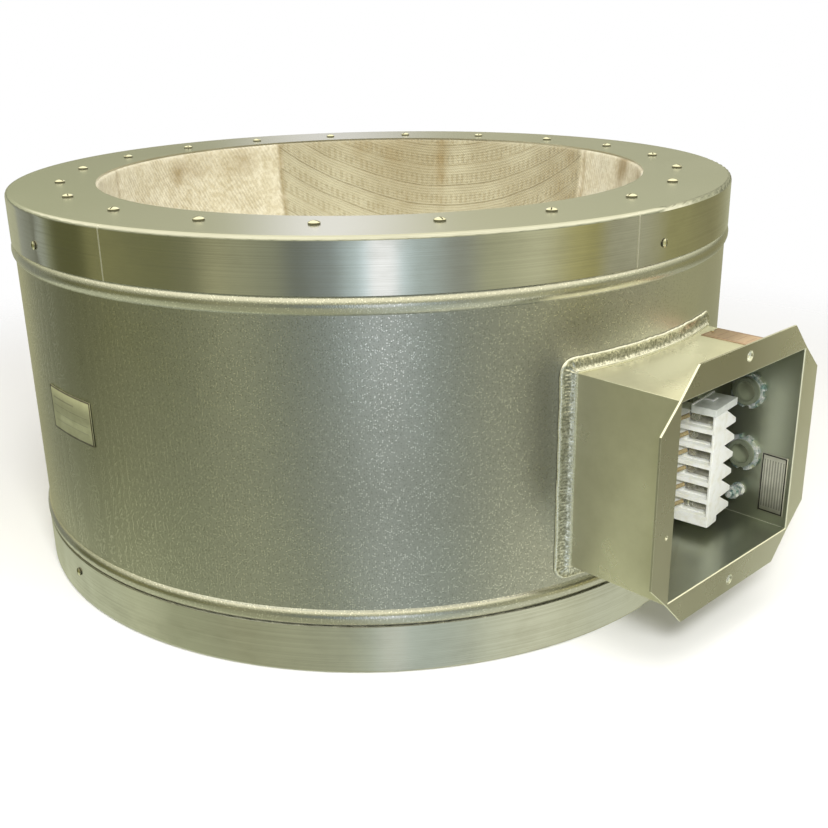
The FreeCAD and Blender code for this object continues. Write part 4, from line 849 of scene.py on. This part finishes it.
def makeWell(look):
    mesh = bmesh.new()
    steps = look["arcSteps"]
    points = []
    for step in range(steps + 1):
        turn = math.pi / 2 * step / steps
        points.append(Vector((wellRadius * math.sin(turn), 0, wellCentre - wellRadius * math.cos(turn))))
    lip, lipSteps = look["lip"], look["lipSteps"]
    rimLevel = topLevel - coverWall
    points.append(Vector((wellRadius, 0, rimLevel - lip)))
    for step in range(1, lipSteps + 1):
        turn = math.pi / 2 * step / lipSteps
        reach = wellRadius + lip * (1 - math.cos(turn))
        points.append(Vector((reach, 0, rimLevel - lip * (1 - math.sin(turn)))))
    points.append(Vector((wellHigh.x - look["rimInset"], 0, rimLevel)))
    verts = [mesh.verts.new(point) for point in points]
    edges = [mesh.edges.new(pair) for pair in zip(verts, verts[1:])]
    bmesh.ops.spin(mesh, geom=verts + edges, cent=(0, 0, 0), axis=(0, 0, 1), dvec=(0, 0, 0),
                   angle=2 * math.pi, steps=look["spinSteps"], use_merge=True, use_duplicate=False)
    bmesh.ops.remove_doubles(mesh, verts=mesh.verts, dist=0.00001)
    bmesh.ops.recalc_face_normals(mesh, faces=mesh.faces)
    if mesh.faces[0].normal.z < 0:
        bmesh.ops.reverse_faces(mesh, faces=mesh.faces)
    shapeGores(mesh, look)
    mapGores(mesh, look)
    piece = finishMesh("well_cloth", mesh, cloth, smoothAngle=60.0)
    thickness = piece.modifiers.new("thickness", "SOLIDIFY")
    thickness.thickness = look["wall"]
    thickness.offset = -1.0
    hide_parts("fabric_well")
    return piece


def shapeGores(mesh, look):
    # seams drawn in, cloth slightly full between them
    for vert in mesh.verts:
        reach = math.hypot(vert.co.x, vert.co.y)
        if reach < 1 * mm or reach > wellRadius + 0.2 * mm:
            continue
        angle = bearing(vert.co)
        nearest = min(abs(signedGap(angle, seam)) for seam in look["seams"])
        gap = math.radians(nearest) * reach
        pull = math.exp(-(gap / look["seamWidth"]) ** 2)
        fullness = min(gap / look["fullAt"], 1.0) ** 0.5
        depth = min(max((topLevel - coverWall - vert.co.z) / look["calmRim"], 0.0), 1.0)
        inward = Vector((0, 0, wellCentre)) - vert.co
        inward.normalize()
        ripple = noise.noise(vert.co * look["rippleScale"]) * look["ripple"]
        move = look["pillow"] * fullness + ripple - look["seamDepth"] * pull
        vert.co += inward * move * depth


def depthFromRim(point):
    # length down the well's wall from its rim
    slope = max(-1.0, min(1.0, (wellCentre - point.z) / wellRadius))
    return wellRadius * math.asin(slope)


def mapGores(mesh, look):
    # flat coordinates of the cloth in metres, a tone of 0.5 for plain cloth, lower for painted shade along
    # the seams and for darker marks, higher for paler marks, and where it is only ribbed
    layer = mesh.loops.layers.uv.new("gore")
    seamShadeAndMarks = mesh.verts.layers.float.new("seamShadeAndMarks")
    ribbed = mesh.verts.layers.float.new("ribbed")
    facing = look["facingSeam"]
    for vert in mesh.verts:
        angle = bearing(vert.co)
        down = depthFromRim(vert.co)
        reach = math.hypot(vert.co.x, vert.co.y)
        nearest = min(abs(signedGap(angle, seam)) for seam in look["seams"])
        gap = math.radians(nearest) * reach
        # painted shade along each seam
        shade = 0.5 - look["seamPaintedShade"] * math.exp(-(gap / look["seamPaintedShadeWidth"]) ** 2)
        for middle, width, depth, length, strength in look["marks"]:
            side = signedGap(angle, middle) / width
            fall = (down - depth) / length
            patchy = 0.7 + noise.noise(vert.co * look["markScale"])
            shade += strength * math.exp(-side ** 2) * math.exp(-fall ** 2) * patchy
        vert[seamShadeAndMarks] = min(max(shade, 0.0), 1.0)
        vert[ribbed] = 1.0 if abs(signedGap(angle, facing)) > look["facingSpan"] else 0.0
    for face in mesh.faces:
        centre = face.calc_center_median()
        middle = goreMiddle(bearing(centre), look["seams"])
        shared = abs(signedGap(bearing(centre), facing)) < look["facingSpan"]
        for loop in face.loops:
            point = loop.vert.co
            angle = bearing(point) if math.hypot(point.x, point.y) > 1e-6 else bearing(centre)
            down = depthFromRim(point)
            if shared:
                across = math.radians(signedGap(angle, facing)) * wellRadius
                loop[layer].uv = (across, down + look["sag"] * across ** 2)
            else:
                across = math.radians(signedGap(angle, middle)) * wellRadius
                tilt = math.radians(look["ribTilt"])
                loop[layer].uv = (across * math.cos(tilt) + down * math.sin(tilt),
                                  down * math.cos(tilt) - across * math.sin(tilt))


makeWell(wellSizes)
print("fabric well made")


# Plates

def flatPlate(name, look, place, material, node):
    # place takes a point of the flat plate, in metres from its middle, to where it lies on the drum or box
    mesh = bmesh.new()
    bmesh.ops.create_grid(mesh, x_segments=24, y_segments=2, size=0.5)
    layer = mesh.loops.layers.uv.new("plate")
    bmesh.ops.scale(mesh, vec=(*look["size"], 1), verts=mesh.verts)
    for face in mesh.faces:
        for loop in face.loops:
            loop[layer].uv = (loop.vert.co.x, loop.vert.co.y)
    for vert in mesh.verts:
        vert.co = place(vert.co.x, vert.co.y)
    piece = finishMesh(name, mesh, material)
    thickness = piece.modifiers.new("thickness", "SOLIDIFY")
    thickness.thickness = look["wall"]
    thickness.offset = -1.0
    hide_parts(node)
    return piece


# tints are (face, ink), and each rule is its left end, right end, level and height on the flat plate
nameplate = {
    "size": (64.0 * mm, 35.0 * mm),
    "angle": -91.2,          # round the drum, in degrees
    "level": 164.5 * mm,
    "wall": 0.6 * mm,
    "tints": (fromScreen(168, 170, 136), fromScreen(48, 42, 24)),
    "border": 1.5 * mm,
    "inset": 0.0,
    "rules": [
        (-26 * mm, 8 * mm, 9 * mm, 1.2 * mm),
        (-26 * mm, 26 * mm, 3 * mm, 0.5 * mm),
        (-26 * mm, 26 * mm, -3 * mm, 0.5 * mm),
        (-26 * mm, 26 * mm, -9 * mm, 0.5 * mm),
    ],
}
innerLabel = {
    "size": (21.3 * mm, 48.5 * mm),
    "wall": 0.6 * mm,
    "tints": (fromScreen(188, 188, 172), fromScreen(30, 28, 22)),
    "border": 1.1 * mm,
    "inset": 0.6 * mm,
    "rules": [((2.2 * row - 8.3) * mm, (2.2 * row - 7.1) * mm, 0.0, 39 * mm) for row in range(8)],
}
topLabel = {
    "size": (24.0 * mm, 62.0 * mm),
    "wall": 0.6 * mm,
    "tints": (fromScreen(200, 172, 146), fromScreen(134, 92, 72)),
    "border": 0.8 * mm,
    "inset": 0.8 * mm,
    "rules": [(-8 * mm, 8 * mm, (20 - 8 * row) * mm, 0.9 * mm) for row in range(6)],
}


def onDrum(across, up):
    reach = onShell + nameplate["wall"]
    turn = math.radians(nameplate["angle"]) + across / reach
    return Vector((reach * math.sin(turn), -reach * math.cos(turn), nameplate["level"] + up))


def onWall(across, up):
    low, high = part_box("inner_label")
    return Vector((low.x, (low.y + high.y) / 2 - across, (low.z + high.z) / 2 + up))


def onRoof(across, up):
    low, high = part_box("box_top_label")
    return Vector(((low.x + high.x) / 2 + across, (low.y + high.y) / 2 + up, high.z))


flatPlate("drum_plate", nameplate, onDrum, plateFace("plate_silver", nameplate),
          "drum_nameplate")
flatPlate("inner_plate", innerLabel, onWall, plateFace("plate_inner", innerLabel),
          "inner_label")
flatPlate("roof_plate", topLabel, onRoof, plateFace("plate_red", topLabel),
          "box_top_label")
print("plates made")


# Weld round the terminal box

weldSizes = {
    "leg": 11.0 * mm,        # along the drum, from the box's wall
    "rise": 3.4 * mm,        # up the box's wall
    "ripplePitch": 2.4 * mm,
    "rippleDepth": 0.45 * mm,
    "rippleLag": 1.4 * mm,   # how far a ripple's middle runs ahead of its ends
    "step": 0.8 * mm,
    "cornerSteps": 12,
    "cornerTravel": 0.5 * mm,    # along the ripples, for each step round a corner
    "fill": (0.18, 0.85),    # the rippled middle, as shares of the leg
    # strays: how often for each metre, and how far
    "wander": (60, 0.5 * mm),
    "ragged": (260, 0.35 * mm),
    "lumps": (330, 0.30 * mm),
    # the bead's section: share of the leg, share of the rise
    "section": [
        (0.0, 1.0), (0.06, 1.08), (0.13, 1.02), (0.20, 0.78), (0.28, 0.55), (0.38, 0.44), (0.50, 0.36),
        (0.62, 0.30), (0.74, 0.27), (0.82, 0.30), (0.88, 0.36), (0.94, 0.33), (0.98, 0.18), (1.0, 0.0),
    ],
}


def weldPath(look):
    # the box's outline as (x, z, outward x, outward z), with the outward direction turning at the corners
    wide = (boxHigh.x - boxLow.x) / 2 - boxFlange
    middle = (boxHigh.z + boxLow.z) / 2
    high = (boxHigh.z - boxLow.z) / 2 - boxFlange
    corners = [(-wide, -high), (wide, -high), (wide, high), (-wide, high)]
    path = []
    for index, start in enumerate(corners):
        end = corners[(index + 1) % 4]
        length = math.hypot(end[0] - start[0], end[1] - start[1])
        along = ((end[0] - start[0]) / length, (end[1] - start[1]) / length)
        outward = (along[1], -along[0])
        count = int(length / look["step"])
        for step in range(count):
            x = start[0] + along[0] * length * step / count
            z = middle + start[1] + along[1] * length * step / count
            path.append((x, z, outward[0], outward[1]))
        before = math.atan2(outward[1], outward[0])
        for step in range(look["cornerSteps"]):
            turn = before + math.pi / 2 * step / look["cornerSteps"]
            path.append((end[0], middle + end[1], math.cos(turn), math.sin(turn)))
    return path


def stray(kind, travelled, share=0.0, layer=0.0):
    # a smooth wandering along the bead that is the same on each run
    often, far = kind
    return noise.noise(Vector((travelled * often, share, layer))) * far


def makeWeld(look):
    # one section of the bead, set out at every step of the path and joined to the next
    rows = weldPath(look)
    mesh = bmesh.new()
    fill = mesh.verts.layers.float.new("fill")
    travelled = 0.0
    rings = []
    for index, (x, z, outX, outZ) in enumerate(rows):
        before = rows[index - 1]
        travelled += math.hypot(x - before[0], z - before[1])
        if (x, z) == before[:2]:
            travelled += look["cornerTravel"]
        ring = []
        wander = stray(look["wander"], travelled)
        for share, climb in look["section"]:
            spreadOut = look["leg"] * share
            if share > 0.02:
                spreadOut += wander * share + stray(look["ragged"], travelled, share * 3, 1) * share
            px, pz = x + outX * spreadOut, z + outZ * spreadOut
            curve = travelled + look["rippleLag"] * math.cos(math.pi * (share - 0.5))
            rippled = math.sin(2 * math.pi * curve / look["ripplePitch"])
            inFill = 1.0 if look["fill"][0] < share < look["fill"][1] else 0.0
            height = look["rise"] * climb
            if climb > 0:
                height += look["rippleDepth"] * rippled * (0.6 + 0.4 * inFill)
                height += stray(look["lumps"], travelled, share * 6, 5)
            reach = onShell + max(height, 0.0)
            py = -math.sqrt(max(reach ** 2 - px ** 2, 0.0))
            vert = mesh.verts.new((px, py, pz))
            vert[fill] = inFill
            ring.append(vert)
        rings.append(ring)
    for index, ring in enumerate(rings):
        following = rings[(index + 1) % len(rings)]
        for low in range(len(ring) - 1):
            mesh.faces.new((ring[low], ring[low + 1], following[low + 1], following[low]))
    bmesh.ops.remove_doubles(mesh, verts=mesh.verts, dist=0.00002)
    bmesh.ops.recalc_face_normals(mesh, faces=mesh.faces)
    piece = finishMesh("weld_bead", mesh, bead, smoothAngle=80.0)
    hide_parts("box_weld")
    return piece


makeWeld(weldSizes)
print("weld made")


# Stage, world and lamps

stageLook = {
    "floorRadius": 3.0,
    "floorTint": (0.93, 0.93, 0.92),
    "mirrored": 1.3,         # makes up for what the metal's own tint takes
    "ambient": 0.62,
    "overhead": fromScreen(255, 250, 218),
    "lowShade": 0.40,        # what is left of the upper bands' light near the horizon
    "far": fromScreen(120, 123, 102),
    "ambientTint": (1.0, 0.985, 0.95),
    "floorEdge": (0.55, 1.1),    # the floor fades out between these distances from the drum's axis
    # where one part of the studio passes into the next, by the height of a ray's direction, 1 straight up
    "lowEdge": (0.09, 0.16),
    "upperEdge": (-0.02, 0.07),
    "overheadEdge": (0.27, 0.42),
    "farEdge": (-0.25, -0.31),
    "tableEdge": (-0.37, -0.46),
    "farShare": 0.35,
    "tableShare": 0.75,
}


def makeFloor(look):
    mesh = bmesh.new()
    bmesh.ops.create_circle(mesh, cap_ends=True, segments=96, radius=look["floorRadius"])
    data = bpy.data.meshes.new("floor")
    mesh.to_mesh(data)
    mesh.free()
    floor = bpy.data.objects.new("floor", data)
    bpy.context.scene.collection.objects.link(floor)
    material = bpy.data.materials.new("pale_floor")
    material.use_nodes = True
    tree = material.node_tree
    tree.nodes.clear()
    out = tree.nodes.new("ShaderNodeOutputMaterial")
    paper = addNode(tree, "ShaderNodeBsdfDiffuse", {"Color": (*look["floorTint"], 1)})
    clear = tree.nodes.new("ShaderNodeBsdfTransparent")
    rays = tree.nodes.new("ShaderNodeLightPath")
    seen = addNode(tree, "ShaderNodeMixShader", {"Fac": rays.outputs["Is Glossy Ray"]})
    tree.links.new(paper.outputs[0], seen.inputs[1])
    tree.links.new(clear.outputs[0], seen.inputs[2])
    x, y = parted(tree, objectPlace(tree))[:2]
    gone = spread(tree, reachOf(tree, x, y), *look["floorEdge"])
    fade = addNode(tree, "ShaderNodeMixShader", {"Fac": gone})
    tree.links.new(seen.outputs[0], fade.inputs[1])
    tree.links.new(clear.outputs[0], fade.inputs[2])
    tree.links.new(fade.outputs[0], out.inputs["Surface"])
    data.materials.append(material)
    return floor


# what the upright metal mirrors, by bearing round the drum: (degrees, colour on screen)
studioBands = [
    (-180, (140, 142, 128)),
    (-168, (122, 124, 108)),
    (-164, (100, 100, 84)),
    (-160, (150, 154, 140)),
    (-156, (120, 122, 92)),
    (-151, (84, 84, 50)),
    (-139, (84, 84, 50)),
    (-133, (122, 120, 78)),
    (-106, (106, 106, 70)),
    (-98, (110, 110, 78)),
    (-89, (152, 150, 114)),
    (-81, (142, 142, 112)),
    (-72, (130, 132, 108)),
    (-64, (104, 109, 100)),
    (-55, (126, 134, 131)),
    (-47, (178, 192, 191)),
    (-43.8, (218, 234, 238)),
    (-42.6, (255, 255, 255)),
    (-35.6, (255, 255, 255)),
    (-34.2, (204, 220, 222)),
    (-28.5, (168, 180, 176)),
    (-16, (136, 139, 127)),
    (-7, (158, 158, 126)),
    (8, (178, 176, 142)),
    (22, (158, 152, 100)),
    (27, (146, 140, 88)),
    (34, (150, 148, 122)),
    (44, (156, 154, 128)),
    (62, (140, 136, 92)),
    (86, (128, 124, 88)),
    (120, (160, 160, 132)),
]
# what the level metal mirrors
upperBands = [
    (110, (182, 182, 150)),
    (124, (182, 182, 152)),
    (133, (188, 186, 156)),
    (141, (244, 242, 240)),
    (147, (172, 172, 142)),
    (158, (172, 174, 140)),
    (172, (174, 176, 142)),
]
# what the foot of the drum mirrors
tableBands = [
    (-176, (202, 205, 172)),
    (-154, (194, 197, 166)),
    (-130, (198, 201, 168)),
    (-112, (168, 171, 139)),
    (-90, (158, 159, 129)),
    (-56, (166, 167, 137)),
    (-26, (178, 185, 170)),
    (8, (212, 213, 188)),
    (30, (202, 204, 180)),
    (52, (200, 202, 176)),
    (85, (172, 173, 146)),
    (138, (182, 184, 152)),
    (165, (180, 183, 152)),
]


def makeWorld(look):
    world = bpy.data.worlds.new("studio")
    world.use_nodes = True
    bpy.context.scene.world = world
    tree = world.node_tree
    tree.nodes.clear()
    out = tree.nodes.new("ShaderNodeOutputWorld")
    rays = tree.nodes.new("ShaderNodeLightPath")
    direction = addNode(tree, "ShaderNodeTexCoord").outputs["Generated"]
    x, y, z = parted(tree, direction)
    share = turnShare(tree, angleOf(tree, x, y))
    lower = spread(tree, z, *look["lowEdge"], look["lowShade"], 1.0)
    dimmed = joined(tree, lower, lower, lower)
    upper = blendColours(tree, 1.0, bandRamp(tree, share, upperBands), dimmed, "MULTIPLY")
    sky = blendColours(tree, spread(tree, z, *look["upperEdge"]), bandRamp(tree, share, studioBands), upper)
    sky = blendColours(tree, spread(tree, z, *look["overheadEdge"]), sky, look["overhead"])
    sky = blendColours(tree, spread(tree, z, *look["farEdge"], 0.0, look["farShare"]), sky, look["far"])
    table = spread(tree, z, *look["tableEdge"], 0.0, look["tableShare"])
    sky = blendColours(tree, table, sky, bandRamp(tree, share, tableBands))
    mirrored = addNode(tree, "ShaderNodeBackground", {"Color": sky, "Strength": look["mirrored"]})
    white = addNode(tree, "ShaderNodeBackground", {"Color": (1, 1, 1, 1), "Strength": 1.0})
    ambient = addNode(tree, "ShaderNodeBackground", {
        "Color": (*look["ambientTint"], 1), "Strength": look["ambient"]})
    lit = addNode(tree, "ShaderNodeMixShader", {"Fac": rays.outputs["Is Glossy Ray"]})
    tree.links.new(ambient.outputs[0], lit.inputs[1])
    tree.links.new(mirrored.outputs[0], lit.inputs[2])
    whole = addNode(tree, "ShaderNodeMixShader", {"Fac": rays.outputs["Is Camera Ray"]})
    tree.links.new(lit.outputs[0], whole.inputs[1])
    tree.links.new(white.outputs[0], whole.inputs[2])
    tree.links.new(whole.outputs[0], out.inputs["Surface"])


flashLook = {
    "fromCamera": Vector((0.05, -0.05, 0.16)),
    "aim": (0, 0, 0.15),
    "size": (0.22, 0.14),
    "power": 7.0,
    "tint": (1, 1, 1),
}
overheadLook = {
    "spot": (-0.5, -0.6, 2.2),
    "aim": (0, 0, 0.2),
    "size": (1.8, 1.8),
    "power": 26.0,
    "tint": (1.0, 0.98, 0.93),
}


def makeLamp(name, spot, look):
    data = bpy.data.lights.new(name, "AREA")
    data.shape = "RECTANGLE"
    data.size, data.size_y = look["size"]
    data.energy = look["power"]
    data.color = look["tint"]
    lamp = bpy.data.objects.new(name, data)
    bpy.context.scene.collection.objects.link(lamp)
    lamp.location = spot
    lamp.rotation_euler = (Vector(look["aim"]) - Vector(spot)).to_track_quat("-Z", "Y").to_euler()
    lamp.visible_glossy = False      # the metal mirrors the studio's bands alone
    return lamp


makeFloor(stageLook)
makeWorld(stageLook)
makeLamp("flash", photoView.matrix_world.translation + flashLook["fromCamera"], flashLook)
makeLamp("overhead", overheadLook["spot"], overheadLook)
print("stage and lamps set")
